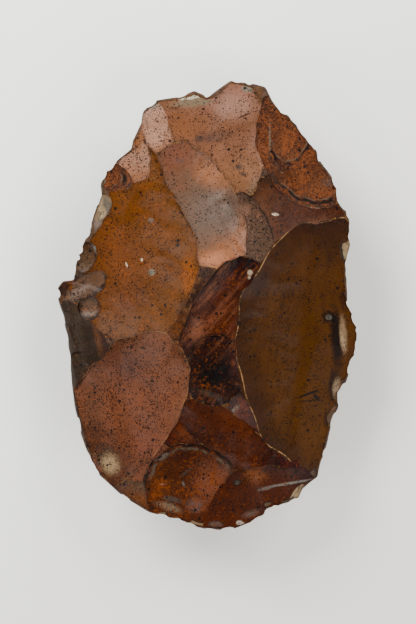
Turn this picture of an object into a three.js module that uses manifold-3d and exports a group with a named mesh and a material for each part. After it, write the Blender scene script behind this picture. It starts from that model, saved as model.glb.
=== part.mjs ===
// Flint hand axe: one flaked stone that lies on its underside with its worked face up.
// Millimetres. +X is to the right, +Y runs to the tip and +Z is up. The origin is on the
// ground under the middle of the stone.
//
// The stone is shaped as a knapper shapes one. A thick lens that has the axe's outline is
// struck flake after flake, and each scar hangs by its rim from the surface that the earlier
// scars left, so that the ridges between scars run along the rims of the later ones.

import * as THREE from 'three';
import { mergeVertices } from 'three/addons/utils/BufferGeometryUtils.js';
import Module from 'manifold-3d';

// Sizes of the stone.
const LENGTH = 135;
const WIDTH = 90;
const FACE_RISE = 20;       // highest point of the worked face over the edge
const BELLY_DROP = 16;      // lowest point of the underside below the edge
const REST_CUT = 1.2;       // what the flat that it rests on takes off the belly
const EDGE_LIP = 0.4;       // half the thickness of the blunted edge
const EDGE_SLOPE = 0.25;    // least rise of a face per millimetre in from the edge
const EDGE_BAND = 12;       // how far in from the edge that least rise holds
const EDGE_WAVE = 1.2;      // how far the edge winds up and down
const RIM_BULK = 5;         // extra fullness of the unworked lens close to its edge

// How the scars are laid.
const RIM_WALL = 60;        // how fast a scar's surface climbs beyond its rim, per share of its radius
const RIM_REACH = 1.2;      // how far beyond its rim a scar is followed, as a share of its radius
const RIM_BITE = 0.2;       // how far a scar's rim bites below the surface that it is hung from
const RIM_SAMPLES = 48;
const RIM_WAVES = 8;        // waves round a rim that a scar follows
const OUTER_FALL = 6;       // fall of the lens beyond its outline, per share of its reach
const EDGE_FADE = 9;        // how late a scar's hollow fades towards the edge
const EDGE_BLEND = 0.8;     // softness of the turn from a scar to the edge's least slope
const SMALL_SCAR = 7;       // mean radius under which a scar is made with fewer faces
const SMALL_MESH = { spokes: 10, shares: [0.6, 1, RIM_REACH] };
const BROAD_MESH = { spokes: 18, shares: [0.4, 0.7, 0.88, 1, RIM_REACH] };
const LENS_RINGS = [0.25, 0.45, 0.65, 0.85, 0.98];

// The outline, seen from above and traced at 135 by 90 mm, clockwise from the tip's left corner.
const TRACED_LENGTH = 135;
const TRACED_WIDTH = 90;
const OUTLINE = [
  [-19.5, 58], [-17, 60.5], [-15.5, 61.5], [-9, 62.5], [-4, 64.5], [-0.5, 63], [1.5, 63.5], [7, 67.5],
  [13, 66.5], [17.5, 65.5], [19, 62.5], [22, 58.5], [24.5, 57], [28.5, 52], [33, 46.5], [33.5, 43.5],
  [36, 40.5], [39, 35.5], [39.5, 31.5], [43, 26], [43, 17.5], [41.5, 12.5], [42, 1.5], [45, -7.5],
  [45, -13.5], [43, -17.5], [42.5, -21], [40, -27], [39.5, -31.5], [37.5, -36], [35.5, -43.5], [33, -52],
  [28.5, -55.5], [27.5, -58.5], [24.5, -60], [17.5, -61.5], [17, -63], [14, -65], [8.5, -67], [5, -67.5],
  [-2.5, -67], [-8.5, -65], [-14.5, -63.5], [-17.5, -62.5], [-24, -58.5], [-29.5, -54], [-34, -50],
  [-37, -42.5], [-39, -36], [-40.5, -27], [-41.5, -15], [-43.5, -3], [-45, 1.5], [-45, 5], [-43.5, 7],
  [-40.5, 7.5], [-39, 14], [-36, 21.5], [-33.5, 28.5], [-32, 33], [-32, 36.5], [-30, 40.5],
  [-27, 43.5], [-23, 47], [-22.5, 49.5], [-20, 54.5],
];
const HEART = [1.5, -5.5];

// A scar: where its middle lies, the direction its flake ran in degrees, its radii ahead, back,
// left and right of that run, how deep it is and how late its bottom turns up to the rim.
const flake = (name, x, y, run, [ahead, back, left, right], depth, power) => ({
  name, x, y, run, ahead, back, left, right, depth, power,
});

// The worked face, earliest scar first.
const FACE_SCARS = [
  flake('tip', 2.3, 53.9, -80, [25.5, 17.5, 15, 17], 3, 2.5),
  flake('shoulder', 27.8, 29.9, 180, [15, 18.5, 14.5, 12], 2.6, 2.5),
  flake('speckled', 12.8, 20.9, -72, [13.5, 12.5, 6, 5], 1.2, 2),
  flake('tip_left', -14.9, 54.2, -72, [11, 11, 3.6, 6], 1, 2),
  flake('long_centre', -1.4, 31.4, -62, [22.5, 19, 9, 15.5], 2.8, 2.5),
  flake('butt_mid', -4.7, -40, -30, [13.5, 12, 8, 9], 2, 2),
  flake('wedge', 20.6, -39.5, -40, [20, 19, 9, 8], 2.4, 2),
  flake('oblique', 5.6, -39.5, -38, [19, 17.5, 7.5, 6], 2.4, 2.5),
  flake('heart_valley', 4.4, -4.7, 65, [20, 24, 10, 12], 3, 3),
  flake('dark_valley', 1.7, -19.7, 85, [11, 10, 8.5, 9], 0.9, 2),
  flake('upper_right', 30.2, 45.8, -60, [18, 20, 16.5, 14.5], 3, 5),
  flake('upper_right_tip', 24.5, 53.9, -95, [15, 12.5, 8, 7], 2.2, 3),
  flake('left_strip', -40.7, -18.2, 100, [25, 24.5, 13, 12], 1.6, 2),
  flake('left_flank', -25.7, 12.8, 108, [51, 25, 17.5, 22.5], 3.4, 3.2),
  flake('butt_left', -22, -53, 60, [15, 18, 15, 15], 1.4, 2),
  flake('lower_left', -23.3, -31.1, 56, [25, 31, 17, 14], 3.4, 3),
  flake('right_flank', 41, -12.2, 90, [38.5, 40, 33, 10], 3.6, 3.2),
  flake('butt_hinge', -5.9, -54.8, 90, [14, 14, 13, 16], 2.8, 5),
  flake('butt_right', 15.2, -62.3, 10, [23, 20, 14, 9], 2.4, 3),
  flake('butt_patch', 13.7, -51.5, 0, [4.2, 4.2, 3.3, 3], 0.6, 2),
  flake('left_shiny', -36.2, 5.6, 33, [7, 8, 3.6, 4], 1.4, 2.5),
  flake('left_shiny_low', -35.6, -0.8, -70, [4, 3.6, 3.6, 3.3], 1.2, 2.5),
  flake('left_hook', -36.8, 14, 60, [4.8, 4.8, 4.5, 3.6], 1.4, 3),
  flake('left_pale', -31.7, 29, 65, [4.5, 4.2, 3.6, 3], 1.2, 2),
  flake('top_left', -21.8, 44.9, -75, [8.7, 11.5, 4.5, 6], 2, 4),
  flake('top_left_low', -28.4, 38, -20, [6.3, 5.4, 4.5, 4.2], 1.4, 3),
  flake('tip_chip', -10.7, 61.7, -90, [3.3, 2.4, 4.2, 4.2], 1, 3),
  flake('right_chip_upper', 41.9, 17, 90, [4.5, 4, 2, 3], 0.8, 2.5),
  flake('right_chip_long', 40, -9.2, 88, [6.5, 6, 2.2, 6], 0.9, 2.5),
  flake('right_chip_low', 38.2, -25.7, 75, [4.5, 3.5, 2, 4], 0.8, 2.5),
  flake('right_chip_heel', 37.3, -32.8, 75, [3.5, 3.5, 2, 4], 0.8, 2.5),
  flake('heel_chip', 26.5, -56.2, 20, [4, 4, 3, 4], 0.8, 2.5),
];

// The underside, which is plainer: a ring of broad scars struck inwards from the edge.
const BELLY_SCARS = [
  flake('under_tip', 2, 50, -90, [24, 20, 16, 17], 2.4, 2.5),
  flake('under_heel', 4, -54, 90, [20, 17, 17, 17], 2.4, 2.5),
  flake('under_left', -29, 12, -5, [23, 19, 17, 18], 2.6, 2.5),
  flake('under_right_low', 33, -14, 175, [24, 15, 16, 16], 2.6, 2.5),
  flake('under_tip_right', 22, 38, -130, [20, 19, 14, 14], 2.4, 2.5),
  flake('under_heel_left', -21, -44, 50, [21, 20, 17, 14], 2.4, 2.5),
  flake('under_right', 33, 13, -170, [23, 14, 14, 15], 2.2, 2.5),
  flake('under_tip_left', -17, 39, -50, [18, 18, 12, 14], 2.2, 2.5),
  flake('under_left_low', -31, -17, 10, [23, 14, 15, 15], 2.4, 2.5),
  flake('under_heel_right', 25, -41, 130, [20, 18, 14, 15], 2.2, 2.5),
];

// The first, rough flakes, struck all round the edge of both faces. They show between the others.
const ROUGH_FLAKES = 12;
const ROUGH_RADIUS = 9;
const ROUGH_DEPTH = 1.2;

const TURN = 2 * Math.PI;
const across = WIDTH / TRACED_WIDTH;
const along = LENGTH / TRACED_LENGTH;
const edgeHeight = BELLY_DROP - REST_CUT;
const sky = 3 * Math.max(FACE_RISE, BELLY_DROP);   // how far out the removed flakes reach

// The outline's corners as directions and distances from the heart, anticlockwise.
const corners = OUTLINE
  .map(([x, y]) => ({
    angle: Math.atan2(y - HEART[1], x - HEART[0]),
    reach: Math.hypot(x - HEART[0], y - HEART[1]),
  }))
  .sort((a, b) => a.angle - b.angle);

function positiveTurn(angle) {
  return ((angle % TURN) + TURN) % TURN;
}

// Distance from the heart to the outline in a direction.
function reach(angle) {
  const turned = positiveTurn(angle + Math.PI) - Math.PI;
  const found = corners.findIndex((corner) => corner.angle > turned);
  const after = corners[Math.max(found, 0)];
  const before = corners[(Math.max(found, 0) + corners.length - 1) % corners.length];
  const span = positiveTurn(after.angle - before.angle);
  const gone = positiveTurn(turned - before.angle);
  return before.reach * after.reach * Math.sin(span)
    / (before.reach * Math.sin(gone) + after.reach * Math.sin(span - gone));
}

// The same distance with the outline's small corners smoothed away.
function softReach(angle) {
  const offsets = [-0.1, -0.075, -0.05, -0.025, 0, 0.025, 0.05, 0.075, 0.1];
  const total = offsets.reduce((sum, offset) => sum + reach(angle + offset), 0);
  return total / offsets.length;
}

// Where a point lies between the heart, 0, and the edge, 1: exactly, softly, and a blend of
// the two that is soft inside and exact at the edge.
function place(x, y) {
  const angle = Math.atan2(y - HEART[1], x - HEART[0]);
  const distance = Math.hypot(x - HEART[0], y - HEART[1]);
  const full = reach(angle);
  const exact = distance / full;
  const soft = distance / softReach(angle);
  const blend = THREE.MathUtils.clamp((exact - 0.55) / 0.4, 0, 1);
  return { angle, exact, soft, share: exact * blend + soft * (1 - blend), inward: (1 - exact) * full };
}

function lensHeight(height, share) {
  return share < 1 ? height * (1 - share ** 2) : -OUTER_FALL * (share - 1);
}

// Extra fullness that leaves the scars something to cut right up to the edge.
function rimBulk(share) {
  return RIM_BULK * share ** 8 * Math.sqrt(Math.max(1 - share, 0));
}

function softMax(a, b) {
  return (a + b + Math.hypot(a - b, EDGE_BLEND)) / 2;
}

// One scar, with heights measured away from the edge plane on its own side of the stone.
class Scar {
  constructor(row) {
    Object.assign(this, row);
    const run = THREE.MathUtils.degToRad(row.run);
    this.forward = [Math.cos(run), Math.sin(run)];
    this.size = (row.ahead + row.back + row.left + row.right) / 4;
  }

  // A point of the scar, from its share of the radius and its direction round the scar.
  point(share, angle) {
    const u = share * Math.cos(angle) * (Math.cos(angle) > 0 ? this.ahead : this.back);
    const v = share * Math.sin(angle) * (Math.sin(angle) > 0 ? this.left : this.right);
    const [c, s] = this.forward;
    return { x: this.x + u * c - v * s, y: this.y + u * s + v * c, u, v };
  }

  // The reverse: how far out a point lies and in which direction.
  local(x, y) {
    const [c, s] = this.forward;
    const u = (x - this.x) * c + (y - this.y) * s;
    const v = (y - this.y) * c - (x - this.x) * s;
    const ahead = u / (u > 0 ? this.ahead : this.back);
    const left = v / (v > 0 ? this.left : this.right);
    return { u, v, share: Math.hypot(ahead, left), angle: Math.atan2(left, ahead) };
  }

  // Hangs the rim from the surface that is there: a tilted plane, and waves round the rim.
  hang(surface) {
    const rim = Array.from({ length: RIM_SAMPLES }, (_, k) => {
      const angle = k * TURN / RIM_SAMPLES;
      const point = this.point(1, angle);
      return { angle, ...point, z: surface(point.x, point.y) };
    });
    const quarter = RIM_SAMPLES / 4;
    this.slopeAhead = (rim[0].z - rim[2 * quarter].z) / (this.ahead + this.back);
    this.slopeLeft = (rim[quarter].z - rim[3 * quarter].z) / (this.left + this.right);
    const rest = rim.map(({ u, v, z }) => z - this.slopeAhead * u - this.slopeLeft * v);
    this.middle = rest.reduce((sum, z) => sum + z, 0) / RIM_SAMPLES;
    this.waves = Array.from({ length: RIM_WAVES }, (_, index) => {
      const count = index + 1;
      const sum = (wave) => rest.reduce((total, z, k) => total + z * wave(count * rim[k].angle), 0);
      return {
        count,
        cosine: 2 * sum(Math.cos) / RIM_SAMPLES,
        sine: 2 * sum(Math.sin) / RIM_SAMPLES,
      };
    });
  }

  height(x, y) {
    const { u, v, share, angle } = this.local(x, y);
    const where = place(x, y);
    const inner = Math.min(share, 1);
    let z = this.middle + this.slopeAhead * u + this.slopeLeft * v - RIM_BITE;
    for (const { count, cosine, sine } of this.waves) {
      z += (cosine * Math.cos(count * angle) + sine * Math.sin(count * angle)) * inner ** Math.max(count, 2);
    }
    const hollow = share < 1 ? this.depth * (1 - Math.min(where.soft, 1) ** EDGE_FADE) : this.depth;
    z += hollow * (share ** this.power - 1) + RIM_WALL * Math.max(share - 1, 0);
    return softMax(z, EDGE_LIP + EDGE_SLOPE * THREE.MathUtils.clamp(where.inward, 0, EDGE_BAND));
  }
}

// Strikes the scars in order, so that each hangs from what the earlier ones left.
function strike(rows, lens) {
  const scars = [];
  const surface = (x, y) => scars
    .filter((scar) => scar.local(x, y).share < RIM_REACH)
    .reduce((lowest, scar) => Math.min(lowest, scar.height(x, y)), lensHeight(lens, place(x, y).share));
  for (const row of rows) {
    const scar = new Scar(row);
    scar.hang(surface);
    scars.push(scar);
  }
  return scars;
}

// A point of the stone in its own frame, from the traced plan and a height over the edge. The
// edge winds three times round, with a lower wave of five.
function stonePoint(x, y, height) {
  const { angle, exact } = place(x, y);
  const wave = EDGE_WAVE * (Math.sin(3 * angle + 0.4) + 0.6 * Math.sin(5 * angle + 2));
  return [x * across, y * along, edgeHeight + height + wave * Math.min(exact, 1) ** 2];
}

// A closed body of rings between a lower and an upper pole.
function ringBody(lowerPole, rings, upperPole) {
  const count = rings[0].length;
  const positions = [lowerPole, ...rings.flat(), upperPole].flat();
  const index = [];
  const at = (ring, spoke) => 1 + ring * count + (spoke % count);
  const last = rings.length - 1;
  for (let spoke = 0; spoke < count; spoke += 1) {
    index.push(0, at(0, spoke + 1), at(0, spoke));
    for (let ring = 0; ring < last; ring += 1) {
      index.push(at(ring, spoke), at(ring, spoke + 1), at(ring + 1, spoke + 1));
      index.push(at(ring, spoke), at(ring + 1, spoke + 1), at(ring + 1, spoke));
    }
    index.push(at(last, spoke), at(last, spoke + 1), 1 + rings.length * count);
  }
  const geometry = new THREE.BufferGeometry();
  geometry.setAttribute('position', new THREE.Float32BufferAttribute(positions, 3));
  geometry.setIndex(index);
  return geometry;
}

// The lens that is struck: the outline, filled out to both sides.
function lensBody() {
  const ring = (share, side, height) => corners.map((corner) => {
    const x = HEART[0] + share * corner.reach * Math.cos(corner.angle);
    const y = HEART[1] + share * corner.reach * Math.sin(corner.angle);
    const full = place(x, y).share;
    return stonePoint(x, y, side * (lensHeight(height, Math.min(full, 1)) + rimBulk(full)));
  });
  const belly = LENS_RINGS.map((share) => ring(share, -1, BELLY_DROP));
  const face = LENS_RINGS.map((share) => ring(share, 1, FACE_RISE));
  const edge = corners.map((corner) => stonePoint(
    HEART[0] + corner.reach * Math.cos(corner.angle),
    HEART[1] + corner.reach * Math.sin(corner.angle),
    0,
  ));
  const rings = [...belly, edge, ...face.reverse()];
  return ringBody(stonePoint(...HEART, -BELLY_DROP), rings, stonePoint(...HEART, FACE_RISE));
}

// All that the blow takes away: the flake and the room over it.
function flakeBody(scar, side) {
  const { spokes, shares } = scar.size < SMALL_SCAR ? SMALL_MESH : BROAD_MESH;
  const angles = Array.from({ length: spokes }, (_, k) => k * TURN / spokes);
  const ring = (share, height) => angles.map((angle) => {
    const { x, y } = scar.point(share, angle);
    return stonePoint(x, y, side * height(x, y));
  });
  const scarHeight = (x, y) => scar.height(x, y);
  const skyHeight = () => sky;
  const rings = [...shares.map((share) => ring(share, scarHeight)), ring(RIM_REACH, skyHeight)];
  const scarPole = stonePoint(scar.x, scar.y, side * scarHeight(scar.x, scar.y));
  const skyPole = stonePoint(scar.x, scar.y, side * sky);
  return side > 0 ? ringBody(scarPole, rings, skyPole) : ringBody(skyPole, rings.reverse(), scarPole);
}

// Rows for the rough flakes: each starts at the outline and runs inwards.
function roughFlakes() {
  return Array.from({ length: ROUGH_FLAKES }, (_, k) => {
    const angle = (k + 0.3 * Math.sin(5 * k)) * TURN / ROUGH_FLAKES;
    const from = 0.94 * reach(angle);
    const radius = ROUGH_RADIUS * (1 + 0.2 * Math.sin(3 * k));
    return flake(
      `rough_${k + 1}`,
      HEART[0] + from * Math.cos(angle),
      HEART[1] + from * Math.sin(angle),
      THREE.MathUtils.radToDeg(angle) + 180,
      [1.1 * radius, radius, radius, radius],
      ROUGH_DEPTH,
      2.5,
    );
  });
}

const wasm = await Module();
wasm.setup();

function solid(geometry) {
  geometry.deleteAttribute('normal');
  geometry.deleteAttribute('uv');
  const merged = mergeVertices(geometry, 1e-5);
  return new wasm.Manifold(new wasm.Mesh({
    numProp: 3,
    vertProperties: new Float32Array(merged.attributes.position.array),
    triVerts: new Uint32Array(merged.index.array),
  }));
}

function geometryOf(body) {
  const mesh = body.getMesh();
  const geometry = new THREE.BufferGeometry();
  geometry.setAttribute('position', new THREE.BufferAttribute(mesh.vertProperties, 3));
  geometry.setIndex(new THREE.BufferAttribute(mesh.triVerts, 1));
  geometry.computeVertexNormals();
  return geometry;
}

// The ground under the stone, which cuts the flat that it rests on.
function ground() {
  const depth = 2 * BELLY_DROP;
  return new THREE.BoxGeometry(2 * WIDTH, 2 * LENGTH, depth).translate(0, 0, -depth / 2);
}

function flakedStone() {
  let stone = solid(lensBody());
  for (const scar of strike([...roughFlakes(), ...FACE_SCARS], FACE_RISE)) {
    stone = stone.subtract(solid(flakeBody(scar, 1)));
  }
  for (const scar of strike([...roughFlakes(), ...BELLY_SCARS], BELLY_DROP)) {
    stone = stone.subtract(solid(flakeBody(scar, -1)));
  }
  return geometryOf(stone.subtract(solid(ground())));
}

const patinatedFlint = new THREE.MeshStandardMaterial({ color: 0x7a4a26, roughness: 0.45, metalness: 0 });

const axe = new THREE.Group();
const handAxe = new THREE.Mesh(flakedStone(), patinatedFlint);
handAxe.name = 'hand_axe';
axe.add(handAxe);

export default axe;
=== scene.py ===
"""Looks of the flint hand axe: the same stone with its fine relief, patina and ridge wear.

The stone lies on its underside, the worked face up. Everything is in metres, in the frame of
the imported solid. Plan sizes in the tables are millimetres, turned into metres where meshes are
placed. The fine stone is struck as the solid was: the same flakes, in the same order, from the
same lens, only with closer faces, ripples, chips along the edge and a finish for each scar.
"""

import logging
import math
from dataclasses import dataclass, field
from enum import Enum
from typing import Callable

import bpy
import numpy as np
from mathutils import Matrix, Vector, kdtree


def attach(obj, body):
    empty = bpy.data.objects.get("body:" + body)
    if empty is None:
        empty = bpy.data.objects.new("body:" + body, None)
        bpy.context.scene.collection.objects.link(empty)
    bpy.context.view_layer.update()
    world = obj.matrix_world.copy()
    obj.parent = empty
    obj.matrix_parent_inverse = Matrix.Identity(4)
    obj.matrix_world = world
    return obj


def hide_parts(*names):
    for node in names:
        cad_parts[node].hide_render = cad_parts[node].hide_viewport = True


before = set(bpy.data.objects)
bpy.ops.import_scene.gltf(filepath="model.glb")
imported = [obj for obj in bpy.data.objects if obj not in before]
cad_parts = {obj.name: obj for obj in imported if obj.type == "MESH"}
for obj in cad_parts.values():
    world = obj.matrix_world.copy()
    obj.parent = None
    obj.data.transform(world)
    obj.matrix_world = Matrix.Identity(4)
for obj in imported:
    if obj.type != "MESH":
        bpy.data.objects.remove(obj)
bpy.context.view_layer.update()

LOG = logging.getLogger("hand_axe")
MM = 0.001
PIGMENT_GAIN = 0.43
PIGMENT_HAZE = 0.004
PIGMENT_FLOOR = 0.0008
TURN = 2 * math.pi
Surface = Callable[[np.ndarray, np.ndarray], np.ndarray]
Socket = bpy.types.NodeSocket
Rgb = tuple[int, int, int]
Rgba = tuple[float, float, float, float]


def srgb(red: int, green: int, blue: int) -> Rgba:
    """Turns a colour of 0 to 255 into linear light.

    Args:
        red: The red share.
        green: The green share.
        blue: The blue share.

    Returns:
        The linear colour with full alpha.
    """
    def linear(value: int) -> float:
        """Linear share of one channel."""
        share = value / 255
        return share / 12.92 if share <= 0.04045 else ((share + 0.055) / 1.055) ** 2.4

    return (linear(red), linear(green), linear(blue), 1.0)


def pigment(red: int, green: int, blue: int) -> Rgba:
    """The base colour that shows as the given picture colour under the studio's lights.

    Args:
        red: From 0 to 255, as the two others.
        green: See red.
        blue: See red.

    Returns:
        The linear colour.
    """
    plain = srgb(red, green, blue)[:3]
    return (*(max(PIGMENT_GAIN * part - PIGMENT_HAZE, PIGMENT_FLOOR) for part in plain), 1.0)


class Face(Enum):
    """The two sides of the stone."""

    WORKED = 1
    BELLY = -1


class Patina(Enum):
    """The finishes of the stone's scars: the patina they have taken, and in some painted sheen and painted
    shade.
    """

    OLIVE = "olive"
    OCHRE = "ochre"
    ROSE = "rose"
    PINK_GREY = "pink_grey"
    TAN = "tan"
    PALE_PINK = "pale_pink"
    RUST = "rust"
    UMBER = "umber"
    MAUVE = "mauve"
    RED_BAND = "red_band"
    SOOT = "shaded_strip"
    CHESTNUT = "chestnut"
    BUTT_RUST = "butt_rust"
    BUTT_BROWN = "butt_brown"
    GREY_BROWN = "grey_brown"
    CREAM = "cream"
    BELLY = "belly"


@dataclass(frozen=True)
class Flake:
    """One struck flake, in plan millimetres.

    The run is the direction that the flake travelled, in degrees anticlockwise from +X, and
    the radii lie ahead, behind, to the left and to the right of that run.
    """

    name: str
    x: float
    y: float
    run: float
    ahead: float
    back: float
    left: float
    right: float
    depth: float
    power: float
    patina: Patina


@dataclass(frozen=True)
class StoneSizes:
    """Sizes of the stone in millimetres, the same as the solid's."""

    face_rise: float = 20.0
    belly_drop: float = 16.0
    rest_cut: float = 1.2
    edge_lip: float = 0.4
    edge_slope: float = 0.25
    edge_band: float = 12.0
    edge_wave: float = 1.2
    rim_bulk: float = 5.0
    rim_wall: float = 60.0
    rim_bite: float = 0.2
    rim_reach: float = 1.2
    rim_samples: int = 48
    rim_waves: int = 8
    outer_fall: float = 6.0
    edge_fade: float = 9.0
    edge_blend: float = 0.8
    sky: float = 60.0
    rough_flakes: int = 12
    rough_radius: float = 9.0
    rough_depth: float = 1.2
    rough_start: float = 0.94
    rough_sway: float = 0.3
    rough_spread: float = 0.2
    rough_ahead: float = 1.1
    rough_power: float = 2.5
    owner_gap: float = 0.3
    owner_reach: float = 1.1

    @property
    def edge_height(self) -> float:
        """Height of the edge over the ground."""
        return self.belly_drop - self.rest_cut


SIZES = StoneSizes()
FIRST_SEED = 200
FACE_SEED = 100
HEART = (1.5, -5.5)
OUTLINE = (
    (-19.5, 58), (-17, 60.5), (-15.5, 61.5), (-9, 62.5), (-4, 64.5), (-0.5, 63), (1.5, 63.5), (7, 67.5),
    (13, 66.5), (17.5, 65.5), (19, 62.5), (22, 58.5), (24.5, 57), (28.5, 52), (33, 46.5), (33.5, 43.5),
    (36, 40.5), (39, 35.5), (39.5, 31.5), (43, 26), (43, 17.5), (41.5, 12.5), (42, 1.5), (45, -7.5),
    (45, -13.5), (43, -17.5), (42.5, -21), (40, -27), (39.5, -31.5), (37.5, -36), (35.5, -43.5), (33, -52),
    (28.5, -55.5), (27.5, -58.5), (24.5, -60), (17.5, -61.5), (17, -63), (14, -65), (8.5, -67), (5, -67.5),
    (-2.5, -67), (-8.5, -65), (-14.5, -63.5), (-17.5, -62.5), (-24, -58.5), (-29.5, -54), (-34, -50),
    (-37, -42.5), (-39, -36), (-40.5, -27), (-41.5, -15), (-43.5, -3), (-45, 1.5), (-45, 5), (-43.5, 7),
    (-40.5, 7.5), (-39, 14), (-36, 21.5), (-33.5, 28.5), (-32, 33), (-32, 36.5), (-30, 40.5),
    (-27, 43.5), (-23, 47), (-22.5, 49.5), (-20, 54.5),
)

FACE_FLAKES = (
    Flake("tip", 2.3, 53.9, -80, 25.5, 17.5, 15, 17, 3, 2.5, Patina.TAN),
    Flake("shoulder", 27.8, 29.9, 180, 15, 18.5, 14.5, 12, 2.6, 2.5, Patina.UMBER),
    Flake("speckled", 12.8, 20.9, -72, 13.5, 12.5, 6, 5, 1.2, 2, Patina.MAUVE),
    Flake("tip_left", -14.9, 54.2, -72, 11, 11, 3.6, 6, 1, 2, Patina.PALE_PINK),
    Flake("long_centre", -1.4, 31.4, -62, 22.5, 19, 9, 15.5, 2.8, 2.5, Patina.PINK_GREY),
    Flake("butt_mid", -4.7, -40, -30, 13.5, 12, 8, 9, 2, 2, Patina.CHESTNUT),
    Flake("wedge", 20.6, -39.5, -40, 20, 19, 9, 8, 2.4, 2, Patina.CHESTNUT),
    Flake("oblique", 5.6, -39.5, -38, 19, 17.5, 7.5, 6, 2.4, 2.5, Patina.BUTT_BROWN),
    Flake("heart_valley", 4.4, -4.7, 65, 20, 24, 10, 12, 3, 3, Patina.RED_BAND),
    Flake("dark_valley", 1.7, -19.7, 85, 11, 10, 8.5, 9, 0.9, 2, Patina.RED_BAND),
    Flake("upper_right", 30.2, 45.8, -60, 18, 20, 16.5, 14.5, 3, 5, Patina.RUST),
    Flake("upper_right_tip", 24.5, 53.9, -95, 15, 12.5, 8, 7, 2.2, 3, Patina.RUST),
    Flake("left_strip", -40.7, -18.2, 100, 25, 24.5, 13, 12, 1.6, 2, Patina.SOOT),
    Flake("left_flank", -25.7, 12.8, 108, 51, 25, 17.5, 22.5, 3.4, 3.2, Patina.OCHRE),
    Flake("butt_left", -22, -53, 60, 15, 18, 15, 15, 1.4, 2, Patina.ROSE),
    Flake("lower_left", -23.3, -31.1, 56, 25, 31, 17, 14, 3.4, 3, Patina.ROSE),
    Flake("right_flank", 41, -12.2, 90, 38.5, 40, 33, 10, 3.6, 3.2, Patina.OLIVE),
    Flake("butt_hinge", -5.9, -54.8, 90, 14, 14, 13, 16, 2.8, 5, Patina.BUTT_RUST),
    Flake("butt_right", 15.2, -62.3, 10, 23, 20, 14, 9, 2.4, 3, Patina.BUTT_BROWN),
    Flake("butt_patch", 13.7, -51.5, 0, 4.2, 4.2, 3.3, 3, 0.6, 2, Patina.BUTT_BROWN),
    Flake("left_shiny", -36.2, 5.6, 33, 7, 8, 3.6, 4, 1.4, 2.5, Patina.GREY_BROWN),
    Flake("left_shiny_low", -35.6, -0.8, -70, 4, 3.6, 3.6, 3.3, 1.2, 2.5, Patina.GREY_BROWN),
    Flake("left_hook", -36.8, 14, 60, 4.8, 4.8, 4.5, 3.6, 1.4, 3, Patina.GREY_BROWN),
    Flake("left_pale", -31.7, 29, 65, 4.5, 4.2, 3.6, 3, 1.2, 2, Patina.CREAM),
    Flake("top_left", -21.8, 44.9, -75, 8.7, 11.5, 4.5, 6, 2, 4, Patina.PALE_PINK),
    Flake("top_left_low", -28.4, 38, -20, 6.3, 5.4, 4.5, 4.2, 1.4, 3, Patina.RUST),
    Flake("tip_chip", -10.7, 61.7, -90, 3.3, 2.4, 4.2, 4.2, 1, 3, Patina.TAN),
    Flake("right_chip_upper", 41.9, 17, 90, 4.5, 4, 2, 3, 0.8, 2.5, Patina.CREAM),
    Flake("right_chip_long", 40, -9.2, 88, 6.5, 6, 2.2, 6, 0.9, 2.5, Patina.GREY_BROWN),
    Flake("right_chip_low", 38.2, -25.7, 75, 4.5, 3.5, 2, 4, 0.8, 2.5, Patina.GREY_BROWN),
    Flake("right_chip_heel", 37.3, -32.8, 75, 3.5, 3.5, 2, 4, 0.8, 2.5, Patina.GREY_BROWN),
    Flake("heel_chip", 26.5, -56.2, 20, 4, 4, 3, 4, 0.8, 2.5, Patina.CREAM),
)

BELLY_FLAKES = (
    Flake("under_tip", 2, 50, -90, 24, 20, 16, 17, 2.4, 2.5, Patina.BELLY),
    Flake("under_heel", 4, -54, 90, 20, 17, 17, 17, 2.4, 2.5, Patina.BUTT_BROWN),
    Flake("under_left", -29, 12, -5, 23, 19, 17, 18, 2.6, 2.5, Patina.OCHRE),
    Flake("under_right_low", 33, -14, 175, 24, 15, 16, 16, 2.6, 2.5, Patina.OLIVE),
    Flake("under_tip_right", 22, 38, -130, 20, 19, 14, 14, 2.4, 2.5, Patina.RUST),
    Flake("under_heel_left", -21, -44, 50, 21, 20, 17, 14, 2.4, 2.5, Patina.ROSE),
    Flake("under_right", 33, 13, -170, 23, 14, 14, 15, 2.2, 2.5, Patina.BELLY),
    Flake("under_tip_left", -17, 39, -50, 18, 18, 12, 14, 2.2, 2.5, Patina.UMBER),
    Flake("under_left_low", -31, -17, 10, 23, 14, 15, 15, 2.4, 2.5, Patina.BELLY),
    Flake("under_heel_right", 25, -41, 130, 20, 18, 14, 15, 2.2, 2.5, Patina.BELLY),
)


@dataclass(frozen=True)
class StainAndLightMark:
    """A mark on the worked face, in plan millimetres, with a soft uneven border. Most are the stone's own
    discolouring; some are painted sheen, painted highlight and painted shade.
    """

    x: float
    y: float
    length: float
    width: float
    turn: float
    colour: Rgb
    strength: float = 0.8
    softness: float = 0.5


@dataclass(frozen=True)
class Finish:
    """The patina of one scar, from where its flake began to where it ended, with painted sheen and painted
    shade in some scars.

    The colours lie under the studio's light as given. Warm and dark are the two grains over
    them, rim is the shade towards the scar's border and rim_line the pale line inside it. The
    hinge is the millimetres from the rim to the line where the flake broke off short, which
    carries a painted highlight and a black line.
    """

    start: Rgb
    body: Rgb
    end: Rgb
    warm: Rgb = (168, 84, 30)
    warmth: float = 0.35
    dark: Rgb = (40, 24, 16)
    darkness: float = 0.3
    cloud: float = 0.35
    specks: float = 0.3
    rim: Rgb = (40, 26, 16)
    rim_shade: float = 0.25
    roughness: float = 0.42
    gloss: float = 0.06
    rim_line: float = 0.0
    wear: float = 1.0
    hinge: float = 0.0
    hinge_width: float = 0.24
    chips: float = 0.24
    streak: Rgb = (40, 24, 16)
    streaks: float = 0.0
    streak_turn: float = 0.0
    stains_and_light: tuple[StainAndLightMark, ...] = ()


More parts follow.
